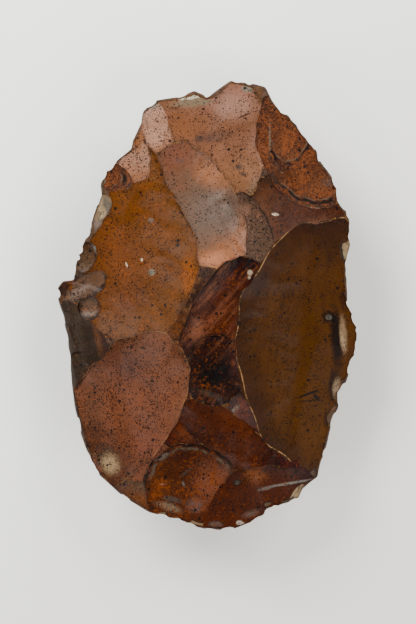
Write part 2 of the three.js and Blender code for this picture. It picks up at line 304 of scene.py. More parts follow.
# painted highlight along the lip where a flake broke off short
HINGE_HIGHLIGHT = (102, 86, 70)
BLACK_CRUST = (26, 20, 16)
CREASE_CRUST = (24, 17, 12)
RIDGE_SHADE = (40, 26, 16)
WORN_RIDGE = (176, 118, 66)
BORDER_BAND = (34, 23, 16)
CHIP_DARK = (84, 70, 56)
CHIP_PALE = (160, 132, 98)
CHIP_RING = (30, 22, 17)
SPECK_BLACK = (26, 20, 18)
RIM_LINE = (192, 144, 96)

FINISHES = {
    # Right flank: its dark olive colours are partly painted shade of a flank turned away from the light and
    # partly the stone's own olive.
    Patina.OLIVE: Finish(
        (92, 57, 20), (88, 54, 18), (78, 48, 16), warm=(104, 62, 18), warmth=0.25, cloud=0.22, specks=0.62,
        rim=(48, 32, 18), rim_shade=0.6, rim_line=0.85, streak=(60, 36, 12), streaks=0.3,
        streak_turn=80, roughness=0.4, chips=0.05, stains_and_light=(
            StainAndLightMark(38.6, -10, 2.2, 10.4, 4, (30, 23, 17), 0.88, 0.6),
            StainAndLightMark(40.6, -8.8, 1.2, 6.2, 5, (146, 118, 88), 0.9, 0.6),
            StainAndLightMark(40.4, -11.4, 0.8, 3.0, 8, (182, 152, 118), 0.8, 0.8),
            StainAndLightMark(37.8, -24, 1.9, 5.4, -6, (38, 30, 24), 0.75, 0.5),
            StainAndLightMark(38.6, -24.8, 1.2, 3.1, -10, (160, 134, 104), 0.9, 0.6),
            StainAndLightMark(36.2, -34.2, 1.5, 3.2, -10, (44, 34, 28), 0.7, 0.5),
            StainAndLightMark(37.1, -34.6, 0.8, 2.2, -10, (180, 156, 126), 0.92, 0.3),
            StainAndLightMark(41.0, 15.8, 1.5, 3.4, 5, (66, 60, 56), 0.9, 0.4),
            StainAndLightMark(41.6, 17.4, 0.35, 1.9, -20, (196, 170, 138), 0.9, 0.3),
            StainAndLightMark(41.8, 9.3, 0.6, 1.1, 0, (204, 184, 154), 0.92, 0.3),
            StainAndLightMark(41, 1.6, 2, 3.4, 0, (56, 32, 18), 0.6, 0.7),
            StainAndLightMark(36.2, -3.8, 1.0, 0.9, 0, (170, 160, 140), 0.9, 0.3),
            StainAndLightMark(36.0, -3.6, 2.2, 2.0, 0, BLACK_CRUST, 0.7, 0.4),
            StainAndLightMark(30.4, -26.6, 3.8, 0.35, 20, BLACK_CRUST, 0.9, 0.3),
            StainAndLightMark(32.6, -27.8, 1.6, 0.6, -45, BLACK_CRUST, 0.8, 0.4),
            StainAndLightMark(29.8, -28.8, 3.6, 0.25, 4, BLACK_CRUST, 0.6, 0.5),
            StainAndLightMark(14.6, -27, 5, 9, 0, (64, 38, 14), 0.45, 0.8),
            StainAndLightMark(24, 12, 9, 14, 30, (100, 60, 30), 0.3, 0.9),
            StainAndLightMark(15, 4, 1.6, 12, -26, (50, 32, 16), 0.4, 0.9),
            StainAndLightMark(30, 24, 12, 2.6, 18, (60, 36, 18), 0.5, 0.9),
            StainAndLightMark(11.4, -20, 3, 9, 4, (70, 44, 24), 0.4, 0.9),
        )),
    Patina.OCHRE: Finish(
        (104, 62, 30), (108, 62, 18), (96, 58, 14), warm=(150, 78, 20), warmth=0.38, cloud=0.22, specks=0.62,
        rim=(96, 58, 20), rim_shade=0.25, chips=0.12, roughness=0.42, stains_and_light=(
            # painted shade: the left flank darker towards its right-hand top
            StainAndLightMark(-8, 24, 3.2, 16, 10, (104, 64, 18), 0.55, 0.8),
            StainAndLightMark(-5.4, 8, 2.6, 7, 5, (164, 86, 24), 0.5, 0.8),
            StainAndLightMark(-7, -1, 2, 4, -30, BLACK_CRUST, 0.35, 0.8),
            StainAndLightMark(-27, 16, 7, 13, 25, (130, 74, 44), 0.45, 0.9),
            StainAndLightMark(-24, 2, 7, 6, 40, (108, 66, 46), 0.5, 0.9),
            StainAndLightMark(-16.4, 9.4, 1.1, 1.1, 0, (120, 112, 96), 0.85, 0.4),
            StainAndLightMark(-16.8, 25, 0.9, 0.9, 0, (104, 100, 92), 0.8, 0.4),
            StainAndLightMark(-19.4, 13.2, 0.35, 0.6, 0, (235, 215, 190), 0.9, 0.3),
            StainAndLightMark(-24, 11.8, 0.3, 0.9, 20, (225, 200, 170), 0.8, 0.3),
            StainAndLightMark(-18, 40, 4, 9, 20, (128, 76, 20), 0.5, 0.8),
        )),
    # The pink of these scars is partly painted sheen and partly the stone's own colour.
    Patina.ROSE: Finish(
        (84, 50, 34), (120, 72, 50), (126, 77, 53), warm=(142, 78, 46), warmth=0.4, cloud=0.3, specks=0.9,
        rim=(104, 70, 52), rim_shade=0.3, rim_line=0.5, chips=0.03, roughness=0.4, stains_and_light=(
            StainAndLightMark(-20, -56, 8, 3.4, -30, (126, 76, 44), 0.6, 0.7),
            StainAndLightMark(-23.6, -54.6, 3.6, 0.6, -52, (104, 96, 84), 0.75, 0.6),
            StainAndLightMark(-23, -57.6, 6.5, 0.4, -34, (48, 38, 32), 0.7, 0.5),
            StainAndLightMark(-22, -17, 10, 5, 20, (92, 68, 62), 0.45, 0.9),
            StainAndLightMark(-34, -28, 4, 14, -8, (96, 66, 50), 0.55, 0.9),
            StainAndLightMark(-30, -46.2, 4.6, 5.4, 30, (72, 60, 50), 0.7, 0.8),
            StainAndLightMark(-29.2, -47.6, 2.9, 3.7, 30, (178, 146, 108), 0.92, 0.8),
            StainAndLightMark(-16, -42, 8, 6, 0, (120, 72, 58), 0.4, 0.9),
        )),
    # Long centre: its grey-mauve body colour is painted sheen; the pinkish start and the salmon end are the
    # stone's own colour.
    Patina.PINK_GREY: Finish(
        (126, 80, 56), (112, 84, 66), (160, 100, 66), warm=(150, 92, 58), warmth=0.3, cloud=0.2, specks=0.4,
        darkness=0.15, rim=(110, 84, 70), rim_shade=0.25, rim_line=0.75, gloss=0.09, roughness=0.38, stains_and_light=(
            StainAndLightMark(-6.4, -0.6, 3, 7, -28, (108, 60, 22), 0.92, 0.4),
            StainAndLightMark(-1.9, 9.6, 2.7, 4.2, 24, (72, 56, 52), 0.92, 0.35),
            StainAndLightMark(1.6, 38, 7, 4.4, -30, (170, 106, 68), 0.75, 0.9),
            # painted sheen: the grey haze over the middle of the scar
            StainAndLightMark(0.5, 26, 7.5, 9, 10, (116, 98, 86), 0.75, 0.8),
            StainAndLightMark(6.8, 27, 2.5, 8, -10, (98, 80, 70), 0.5, 0.9),
            StainAndLightMark(-8.2, 42.8, 1.8, 1.2, 0, (88, 76, 70), 0.7, 0.6),
            StainAndLightMark(-10, 45, 7, 3.4, -20, (140, 84, 66), 0.5, 0.9),
            StainAndLightMark(1.5, 13, 6.5, 2.6, 15, (196, 128, 92), 0.75, 0.8),
        )),
    Patina.TAN: Finish(
        (150, 102, 82), (134, 88, 63), (130, 87, 58), warm=(152, 94, 56), warmth=0.3, cloud=0.3, specks=0.5,
        darkness=0.2, rim=(120, 80, 54), rim_shade=0.2, rim_line=0.4, roughness=0.42, stains_and_light=(
            StainAndLightMark(-4.4, 60.6, 7, 1.7, 6, (132, 116, 92), 0.85, 0.5),
            StainAndLightMark(-5, 62.6, 5.2, 1.1, 8, (216, 202, 174), 0.95, 0.3),
            StainAndLightMark(-7.5, 54, 6, 6, 0, (134, 80, 44), 0.6, 0.9),
            StainAndLightMark(8.5, 59.4, 6.5, 5, 0, (180, 136, 118), 0.6, 0.9),
            StainAndLightMark(2, 50, 6, 1.9, 10, (92, 70, 62), 0.6, 0.8),
            StainAndLightMark(-2.5, 49.4, 1.6, 1, 0, (66, 56, 54), 0.7, 0.6),
            StainAndLightMark(9.2, 40.6, 1.1, 1.1, 0, (68, 58, 54), 0.8, 0.6),
            StainAndLightMark(10.5, 38.4, 1.3, 0.6, -30, (64, 54, 50), 0.8, 0.6),
            StainAndLightMark(12.8, 64.6, 3.2, 1.3, -5, (128, 118, 104), 0.9, 0.4),
            StainAndLightMark(11, 56.4, 2.4, 0.3, 25, (50, 38, 32), 0.8, 0.4),
            StainAndLightMark(14, 33, 3, 3.4, 0, (128, 108, 86), 0.6, 0.9),
            StainAndLightMark(16.2, 44, 1.1, 12, 0, (178, 124, 92), 0.5, 0.8),
            StainAndLightMark(-4, 46.5, 9, 3, -10, (128, 82, 58), 0.4, 0.9),
        )),
    Patina.PALE_PINK: Finish(
        (186, 142, 120), (176, 128, 102), (150, 98, 68), warm=(176, 104, 66), warmth=0.35, cloud=0.2,
        specks=0.8, darkness=0.25, rim=(120, 84, 64), rim_shade=0.3, roughness=0.45, stains_and_light=(
            StainAndLightMark(-16.4, 60, 1.6, 1.4, 0, (128, 118, 106), 0.9, 0.5),
            StainAndLightMark(-21.4, 50.4, 3.0, 5.4, 4, (142, 82, 38), 0.85, 0.6),
            StainAndLightMark(-22.6, 46.2, 2.6, 0.35, 40, (52, 40, 32), 0.8, 0.4),
            StainAndLightMark(-24, 40.5, 2.5, 2.5, 0, (180, 116, 84), 0.5, 0.8),
        )),
    Patina.RUST: Finish(
        (90, 48, 24), (98, 56, 34), (106, 66, 44), warm=(142, 78, 42), warmth=0.6, cloud=0.35, specks=1.0,
        darkness=0.62, rim=(44, 30, 22), rim_shade=0.55, hinge=2.6, roughness=0.5, stains_and_light=(
            StainAndLightMark(24.4, 51, 4, 5, 0, (104, 60, 40), 0.5, 0.9),
            # painted highlight: a thin grey line along the hinge's lip
            StainAndLightMark(18.6, 49, 0.45, 7, 0, (120, 108, 90), 0.6, 0.6),
            StainAndLightMark(19.5, 37.8, 0.7, 5, 30, (60, 52, 46), 0.8, 0.5),
            StainAndLightMark(31.5, 28.6, 3.4, 0.5, -8, (190, 160, 130), 0.8, 0.4),
            StainAndLightMark(36, 36.6, 1.8, 1.8, 0, (88, 80, 76), 0.6, 0.7),
        )),
    Patina.UMBER: Finish(
        (80, 42, 12), (82, 44, 14), (102, 62, 38), warm=(122, 62, 20), warmth=0.35, cloud=0.35, specks=0.7,
        darkness=0.35, rim=(60, 40, 26), rim_shade=0.3, rim_line=0.3, streak=(64, 36, 20), streaks=0.6,
        streak_turn=-62, roughness=0.42, stains_and_light=(
            StainAndLightMark(20, 26.5, 1.2, 0.5, -5, (214, 190, 158), 0.95, 0.3),
            StainAndLightMark(17.6, 20.4, 1.2, 2.4, -25, (74, 62, 60), 0.6, 0.8),
            StainAndLightMark(19, 15.4, 3.4, 6, 25, (146, 102, 80), 0.6, 0.8),
            StainAndLightMark(30, 22.6, 9, 2.6, 20, (134, 86, 56), 0.5, 0.9),
            StainAndLightMark(18.5, 37, 3, 3, 0, (56, 42, 34), 0.6, 0.8),
        )),
    Patina.MAUVE: Finish(
        (98, 72, 56), (94, 70, 54), (96, 72, 56), warm=(150, 100, 78), warmth=0.4, dark=(52, 44, 42),
        darkness=0.6, cloud=0.3, specks=1.0, rim=(70, 56, 50), rim_shade=0.3, wear=0.35,
        roughness=0.5, stains_and_light=(
            StainAndLightMark(-5.2, 0, 2.6, 10, -32, (66, 37, 17), 0.92, 0.4),
            StainAndLightMark(-4.4, 1.6, 1.2, 5, -34, BLACK_CRUST, 0.7, 0.6),
            StainAndLightMark(-8, -7, 5, 5, 0, (104, 58, 24), 0.85, 0.5),
            StainAndLightMark(-2.5, 11, 5, 5, 0, (74, 56, 50), 0.7, 0.7),
            StainAndLightMark(11, 27.6, 2.2, 2, -30, (150, 106, 86), 0.6, 0.8),
        )),
    Patina.RED_BAND: Finish(
        (74, 37, 13), (80, 41, 17), (50, 26, 11), warm=(130, 66, 28), warmth=0.4, cloud=0.5, specks=0.9,
        darkness=0.45, rim=(30, 20, 14), rim_shade=0.7, wear=0.45, streak=(132, 80, 54),
        streaks=0.55, streak_turn=48, roughness=0.4, stains_and_light=(
            StainAndLightMark(5.5, 1.5, 10, 0.9, 48, (130, 78, 58), 0.5, 0.8),
            StainAndLightMark(1.5, -4.5, 8, 1.4, 38, (146, 82, 54), 0.5, 0.8),
            StainAndLightMark(5.5, 6, 9, 1, 50, (88, 40, 14), 0.7, 0.8),
            StainAndLightMark(10.5, -3, 7, 1.2, 46, (96, 58, 50), 0.5, 0.8),
            StainAndLightMark(-3, -8, 2.6, 4.5, 0, (158, 98, 70), 0.6, 0.8),
            StainAndLightMark(-2, 7, 6, 1.6, 52, BLACK_CRUST, 0.85, 0.6),
            StainAndLightMark(12.4, 9.2, 0.8, 0.9, 0, (196, 170, 140), 0.9, 0.4),
            StainAndLightMark(12.2, 7.8, 0.5, 0.5, 0, (196, 170, 140), 0.9, 0.4),
            StainAndLightMark(-4.4, 1.4, 3.2, 0.8, 55, BLACK_CRUST, 0.8, 0.6),
            # painted shade: the dark lower hollow of the valley
            StainAndLightMark(1.8, -20.5, 12, 10.5, 8, (18, 11, 8), 0.96, 0.85),
            # painted sheen on the valley's lower border
            StainAndLightMark(0.6, -26.2, 3.6, 1.0, -20, (86, 78, 68), 0.5, 0.9),
            StainAndLightMark(7.6, -18, 1.6, 4, 0, (84, 36, 18), 0.35, 0.9),
        )),
    # The steep left strip: its near-black to grey-brown colours are painted shade of a facet turned away
    # from the light; the orange crust along its right border is the stone's own.
    Patina.SOOT: Finish(
        (38, 29, 22), (50, 38, 29), (64, 49, 37), warm=(108, 62, 32), warmth=0.3, dark=(18, 13, 11),
        darkness=0.6, cloud=0.5, specks=0.5, rim=(66, 34, 14), rim_shade=0.6,
        gloss=0.06, wear=0.15, chips=0.0, roughness=0.38, stains_and_light=(
            # painted shade, darkest along the strip's outer side
            StainAndLightMark(-42.6, -12, 1.1, 20, 4, (22, 16, 12), 0.7, 0.7),
            # painted sheen down the middle of the strip
            StainAndLightMark(-38.4, -13, 2.2, 15, 5, (76, 64, 53), 0.6, 0.95),
            StainAndLightMark(-32.6, -9.6, 1.2, 6, 12, (128, 76, 40), 0.4, 0.95),
        )),
    Patina.CHESTNUT: Finish(
        (84, 42, 15), (64, 29, 10), (54, 24, 9), warm=(112, 50, 16), warmth=0.5, cloud=0.35, specks=0.9,
        darkness=0.4, rim=(26, 16, 10), rim_shade=0.6, wear=0.5, streak=(26, 12, 6), streaks=0.4,
        streak_turn=-40, roughness=0.36, stains_and_light=(
            StainAndLightMark(7.4, -31.6, 3, 0.9, 52, (120, 112, 98), 0.85, 0.7),
            StainAndLightMark(-6, -38.2, 4.4, 3.6, -20, (114, 66, 40), 0.75, 0.8),
            StainAndLightMark(-4.6, -36.4, 4.4, 0.5, -38, (150, 94, 60), 0.5, 0.8),
            StainAndLightMark(-3, -42, 5, 0.8, -8, (150, 92, 58), 0.5, 0.8),
        )),
    Patina.BUTT_RUST: Finish(
        (82, 43, 15), (84, 45, 22), (76, 40, 15), warm=(136, 68, 30), warmth=0.5, cloud=0.35, specks=0.85,
        darkness=0.35, rim=(54, 38, 26), rim_shade=0.35, hinge=1.9, hinge_width=0.75, chips=0.06,
        roughness=0.42, stains_and_light=(
            StainAndLightMark(-14, -52, 4.5, 8, 0, (100, 54, 24), 0.6, 0.9),
            StainAndLightMark(1, -52.5, 6.5, 8, 0, (140, 86, 64), 0.7, 0.9),
            StainAndLightMark(-13.6, -45.2, 3, 0.7, 28, (126, 116, 106), 0.7, 0.6),
            StainAndLightMark(-6.4, -50, 2.6, 0.5, 40, (84, 72, 62), 0.8, 0.6),
            StainAndLightMark(-10.4, -58.2, 3.2, 1.0, -12, (84, 76, 68), 0.7, 0.7),
            StainAndLightMark(-11.5, -60.6, 4.4, 1.4, -18, (140, 120, 96), 0.7, 0.7),
            StainAndLightMark(-3.6, -60, 3, 2.6, 0, (112, 92, 84), 0.6, 0.8),
            StainAndLightMark(-13.4, -53.6, 1.1, 0.25, 0, (190, 176, 160), 0.8, 0.4),
            StainAndLightMark(-7.2, -53.4, 0.4, 1.2, 20, (120, 120, 108), 0.7, 0.5),
        )),
    Patina.BUTT_BROWN: Finish(
        (84, 42, 12), (80, 41, 10), (68, 35, 9), warm=(124, 62, 18), warmth=0.4, cloud=0.4, specks=0.8,
        darkness=0.35, rim=(40, 26, 16), rim_shade=0.35, roughness=0.4, stains_and_light=(
            StainAndLightMark(8.8, -53, 0.8, 0.7, 0, (168, 156, 136), 0.95, 0.4),
            StainAndLightMark(8.8, -53, 1.5, 1.3, 0, (50, 40, 34), 0.8, 0.4),
            # painted highlight: a thin grey line in two pieces, this one and the next
            StainAndLightMark(25, -53.4, 8.5, 0.45, 8, (132, 126, 116), 0.85, 0.5),
            StainAndLightMark(17.6, -54.8, 3, 0.6, 14, (120, 112, 102), 0.7, 0.6),
            StainAndLightMark(14, -51, 4, 2.6, 0, (150, 86, 42), 0.5, 0.8),
            StainAndLightMark(2.6, -61, 4.6, 3, 30, (74, 38, 14), 0.55, 0.9),
            StainAndLightMark(13, -62.4, 3.2, 1.2, 20, (116, 96, 84), 0.6, 0.8),
            StainAndLightMark(2.4, -65.6, 2.4, 1, 0, (120, 106, 96), 0.6, 0.7),
            StainAndLightMark(9.9, -65.4, 1.5, 0.9, -25, (186, 170, 150), 0.85, 0.3),
            StainAndLightMark(10, -36, 6, 10, 50, (114, 54, 18), 0.5, 0.9),
        )),
    Patina.GREY_BROWN: Finish(
        (106, 84, 66), (90, 66, 47), (74, 50, 32), warm=(150, 92, 52), warmth=0.35, cloud=0.45, specks=0.45,
        darkness=0.35, rim=(36, 28, 22), rim_shade=0.6, gloss=0.08, streak=(124, 98, 76), streaks=0.4,
        streak_turn=35, chips=0.0, wear=0.3, roughness=0.34, stains_and_light=(
            # painted shade: the dark of the steep left strip carried over the edge flakes beside it
            StainAndLightMark(-40, -16, 6, 24, 6, (52, 41, 32), 0.95, 0.3),
            StainAndLightMark(-20, -60, 12, 5, -28, (100, 56, 30), 0.85, 0.6),
            StainAndLightMark(-30, -52, 5, 7, 40, (88, 52, 32), 0.8, 0.6),
            StainAndLightMark(-24, -58.8, 6, 0.5, -35, (52, 42, 36), 0.8, 0.5),
            StainAndLightMark(0, 62, 20, 5, 0, (112, 74, 48), 0.6, 0.6),
            StainAndLightMark(-35.2, -1.2, 3.5, 3.5, -20, (34, 27, 22), 0.75, 0.3),
            StainAndLightMark(-35.2, -1.0, 2.9, 2.9, -20, (104, 78, 60), 0.92, 0.3),
            # painted sheen on the lower shiny chip
            StainAndLightMark(-35.8, -2.8, 1.7, 0.7, -10, (128, 104, 86), 0.5, 0.8),
            StainAndLightMark(-36.4, 5.7, 8.6, 4.0, 33, (34, 27, 22), 0.9, 0.2),
            StainAndLightMark(-36.4, 5.7, 7.9, 3.3, 33, (108, 80, 62), 0.94, 0.2),
            # painted sheen on the lower left of the shiny blade
            StainAndLightMark(-38.6, 3.7, 4.4, 1.5, 33, (146, 124, 110), 0.6, 0.9),
            StainAndLightMark(-33.0, 8.6, 2.6, 2.4, 33, (98, 64, 42), 0.6, 0.8),
            StainAndLightMark(40, -8.6, 1.2, 5, 5, (166, 138, 106), 0.85, 0.6),
            StainAndLightMark(38.6, -22.6, 1.4, 2.8, -10, (168, 146, 116), 0.85, 0.6),
            StainAndLightMark(-33.2, 17, 0.9, 2.4, 20, (140, 134, 120), 0.8, 0.5),
        )),
    Patina.CREAM: Finish(
        (182, 158, 122), (164, 138, 104), (124, 100, 76), warm=(150, 104, 62), warmth=0.3, cloud=0.4,
        specks=0.15, darkness=0.2, rim=(60, 48, 38), rim_shade=0.5, roughness=0.5, stains_and_light=(
            StainAndLightMark(-29.2, 28.4, 1.5, 4.4, 25, (92, 86, 76), 0.85, 0.5),
        )),
    Patina.BELLY: Finish(
        (112, 66, 38), (100, 58, 28), (88, 52, 25), warm=(136, 70, 26), warmth=0.45, cloud=0.45, specks=0.6,
        darkness=0.35, roughness=0.42),
}


class Plan:
    """The stone seen from above: its outline, and where a point lies between heart and edge.

    Each winding of the edge has its number of waves round the stone, its phase and its strength.
    """

    soft_offsets = np.linspace(-0.1, 0.1, 9)
    blend_from = 0.55
    blend_over = 0.4
    windings = ((3, 0.4, 1.0), (5, 2.0, 0.6))

    def __init__(self) -> None:
        """Orders the outline's corners by their direction from the heart."""
        corners = np.array(OUTLINE, float) - np.array(HEART)
        angles = np.arctan2(corners[:, 1], corners[:, 0])
        order = np.argsort(angles)
        self.angles = angles[order]
        self.reaches = np.hypot(corners[:, 0], corners[:, 1])[order]

    def reach(self, angle: np.ndarray) -> np.ndarray:
        """Distance from the heart to the outline.

        Args:
            angle: Directions in radians.

        Returns:
            The distances in millimetres.
        """
        turned = np.mod(angle + math.pi, TURN) - math.pi
        after = np.searchsorted(self.angles, turned, side="right") % len(self.angles)
        before = (after - 1) % len(self.angles)
        span = np.mod(self.angles[after] - self.angles[before], TURN)
        gone = np.mod(turned - self.angles[before], TURN)
        near, far = self.reaches[before], self.reaches[after]
        return near * far * np.sin(span) / (near * np.sin(gone) + far * np.sin(span - gone))

    def soft_reach(self, angle: np.ndarray) -> np.ndarray:
        """The same distance with the small corners smoothed away."""
        return sum(self.reach(angle + offset) for offset in self.soft_offsets) / len(self.soft_offsets)

    def place(self, x: np.ndarray, y: np.ndarray) -> dict[str, np.ndarray]:
        """Where points lie between the heart, 0, and the edge, 1.

        Args:
            x: Plan millimetres to the right.
            y: Plan millimetres to the tip.

        Returns:
            The direction, the exact and soft shares, their blend and the millimetres inward.
        """
        dx, dy = x - HEART[0], y - HEART[1]
        angle = np.arctan2(dy, dx)
        distance = np.hypot(dx, dy)
        full = self.reach(angle)
        exact = distance / full
        soft = distance / self.soft_reach(angle)
        blend = np.clip((exact - self.blend_from) / self.blend_over, 0, 1)
        share = exact * blend + soft * (1 - blend)
        return {"angle": angle, "exact": exact, "soft": soft, "share": share, "inward": (1 - exact) * full}

    def wave(self, x: np.ndarray, y: np.ndarray) -> np.ndarray:
        """How far the winding edge lifts the stone.

        Args:
            x: Plan millimetres to the right.
            y: Plan millimetres to the tip.

        Returns:
            The lifts in millimetres.
        """
        where = self.place(x, y)
        angle = where["angle"]
        swing = sum(strength * np.sin(count * angle + phase) for count, phase, strength in self.windings)
        return SIZES.edge_wave * swing * np.minimum(where["exact"], 1) ** 2


PLAN = Plan()


def lens_height(height: float, share: np.ndarray) -> np.ndarray:
    """Height of the unstruck lens over its edge plane.

    Args:
        height: The lens's height at its heart.
        share: How far out the point lies.

    Returns:
        The heights in millimetres.
    """
    return np.where(share < 1, height * (1 - share ** 2), -SIZES.outer_fall * (share - 1))


class Unevenness:
    """Gentle waves in random directions, the same on every run."""

    shortest = 0.6
    longest = 1.7

    def __init__(self, seed: int, wavelength: float, count: int = 9) -> None:
        """Draws the waves.

        Args:
            seed: Seed of the draw.
            wavelength: Mean length of a wave in millimetres.
            count: How many waves are laid over each other.
        """
        draw = np.random.default_rng(seed)
        heading = draw.uniform(0, TURN, count)
        number = TURN / (wavelength * draw.uniform(self.shortest, self.longest, count))
        self.kx, self.ky = number * np.cos(heading), number * np.sin(heading)
        self.phase = draw.uniform(0, TURN, count)
        self.scale = 1 / math.sqrt(count)

    def __call__(self, x: np.ndarray, y: np.ndarray) -> np.ndarray:
        """Adds the waves up.

        Args:
            x: Millimetres one way.
            y: Millimetres the other way.

        Returns:
            The sums, about -1 to 1.
        """
        total = np.zeros_like(x, float)
        for kx, ky, phase in zip(self.kx, self.ky, self.phase):
            total += np.sin(kx * x + ky * y + phase)
        return total * self.scale


class Scar:
    """The hollow that one flake left, with heights measured out from the edge plane."""

    settle = 0.24
    uneven_rim = 0.011
    wobble_counts = (3, 4, 5, 7, 11, 16)
    wobble_seed = 900
    fine_seed = 500
    broad_wave = 11.0
    fine_wave = 3.4
    broad_swell = 0.11
    fine_swell = 0.035
    ripple_start = 1.1
    ripple_spacing = 0.13
    least_spacing = 1.2
    ripple_sway = 1.6
    ripple_height = 0.004
    ripple_even = 0.6
    ripple_uneven = 0.4

    def __init__(self, flake: Flake, seed: int) -> None:
        """Turns the flake's run into axes and draws its unevenness.

        Args:
            flake: The struck flake.
            seed: Seed of its ripples and unevenness.
        """
        self.flake = flake
        run = math.radians(flake.run)
        self.cos, self.sin = math.cos(run), math.sin(run)
        self.broad = Unevenness(seed, self.broad_wave)
        self.fine = Unevenness(seed + self.fine_seed, self.fine_wave)
        self.size = (flake.ahead + flake.back + flake.left + flake.right) / 4
        draw = np.random.default_rng(seed + self.wobble_seed)
        self.wobbles = [(count, draw.uniform(0, TURN)) for count in self.wobble_counts]

    def point(self, share: np.ndarray, angle: np.ndarray) -> tuple[np.ndarray, ...]:
        """Finds points of the scar on the plan.

        Args:
            share: How far out they lie, as a share of the radius.
            angle: Their directions round the scar in radians.

        Returns:
            The plan's x and y, and the millimetres along the run and to its left.
        """
        u = share * np.cos(angle) * np.where(np.cos(angle) > 0, self.flake.ahead, self.flake.back)
        v = share * np.sin(angle) * np.where(np.sin(angle) > 0, self.flake.left, self.flake.right)
        x = self.flake.x + u * self.cos - v * self.sin
        y = self.flake.y + u * self.sin + v * self.cos
        return x, y, u, v

    def local(self, x: np.ndarray, y: np.ndarray) -> tuple[np.ndarray, ...]:
        """Finds where points of the plan lie in the scar.

        Args:
            x: Plan millimetres to the right.
            y: Plan millimetres to the tip.

        Returns:
            The millimetres along the run and to its left, the share of the radius and the angle.
        """
        dx, dy = x - self.flake.x, y - self.flake.y
        u = dx * self.cos + dy * self.sin
        v = dy * self.cos - dx * self.sin
        ahead = u / np.where(u > 0, self.flake.ahead, self.flake.back)
        left = v / np.where(v > 0, self.flake.left, self.flake.right)
        angle = np.arctan2(left, ahead)
        uneven = sum(np.sin(count * angle + phase) for count, phase in self.wobbles)
        return u, v, np.hypot(ahead, left) * (1 + self.uneven_rim * uneven), angle

    def hang(self, surface: Surface) -> None:
        """Hangs the rim from the surface that is there.

        Args:
            surface: Height of that surface over the plan.
        """
        angle = np.arange(SIZES.rim_samples) * TURN / SIZES.rim_samples
        x, y, u, v = self.point(np.ones_like(angle), angle)
        z = surface(x, y)
        quarter = SIZES.rim_samples // 4
        self.slope_ahead = (z[0] - z[2 * quarter]) / (self.flake.ahead + self.flake.back)
        self.slope_left = (z[quarter] - z[3 * quarter]) / (self.flake.left + self.flake.right)
        rest = z - self.slope_ahead * u - self.slope_left * v
        self.middle = float(rest.mean())
        counts = range(1, SIZES.rim_waves + 1)
        self.waves = [(count, *self.wave_parts(rest, count * angle)) for count in counts]

    @staticmethod
    def wave_parts(rest: np.ndarray, phase: np.ndarray) -> tuple[float, float]:
        """How much of a cosine and of a sine wave the rim's heights hold."""
        return 2 * float((rest * np.cos(phase)).mean()), 2 * float((rest * np.sin(phase)).mean())

    def ripples(self, u: np.ndarray, v: np.ndarray, x: np.ndarray, y: np.ndarray) -> np.ndarray:
        """Shell-like ripples round the place where the flake was struck, and a gentle unevenness.

        Args:
            u: Millimetres along the run.
            v: Millimetres to the left of it.
            x: Plan millimetres to the right.
            y: Plan millimetres to the tip.

        Returns:
            Heights to add, in millimetres.
        """
        length = self.flake.ahead + self.flake.back
        away = np.hypot(u + self.ripple_start * self.flake.back, v)
        spacing = max(self.ripple_spacing * length, self.least_spacing)
        phase = TURN * away / spacing + self.ripple_sway * self.broad(x, y)
        strength = self.ripple_height * length * np.clip(away / length, 0, 1)
        ripple = strength * np.sin(phase) * (self.ripple_even + self.ripple_uneven * self.broad(y, x))
        swell = self.broad_swell * self.broad(x, y)
        return ripple + swell + self.fine_swell * self.fine(x, y) - self.settle

    def height(self, x: np.ndarray, y: np.ndarray, rippled: bool = False) -> np.ndarray:
        """Height of the scar's surface.

        Args:
            x: Plan millimetres to the right.
            y: Plan millimetres to the tip.
            rippled: Whether the ripples are laid on.

        Returns:
            The heights in millimetres.
        """
        u, v, share, angle = self.local(x, y)
        where = PLAN.place(x, y)
        inner = np.minimum(share, 1)
        z = self.middle + self.slope_ahead * u + self.slope_left * v - SIZES.rim_bite
        for count, cosine, sine in self.waves:
            z = z + (cosine * np.cos(count * angle) + sine * np.sin(count * angle)) * inner ** max(count, 2)
        fade = 1 - np.minimum(where["soft"], 1) ** SIZES.edge_fade
        hollow = self.flake.depth * np.where(share < 1, fade, 1)
        z = z + hollow * (share ** self.flake.power - 1) + SIZES.rim_wall * np.maximum(share - 1, 0)
        if rippled:
            z = z + self.ripples(u, v, x, y)
        least = SIZES.edge_lip + SIZES.edge_slope * np.clip(where["inward"], 0, SIZES.edge_band)
        return (z + least + np.hypot(z - least, SIZES.edge_blend)) / 2


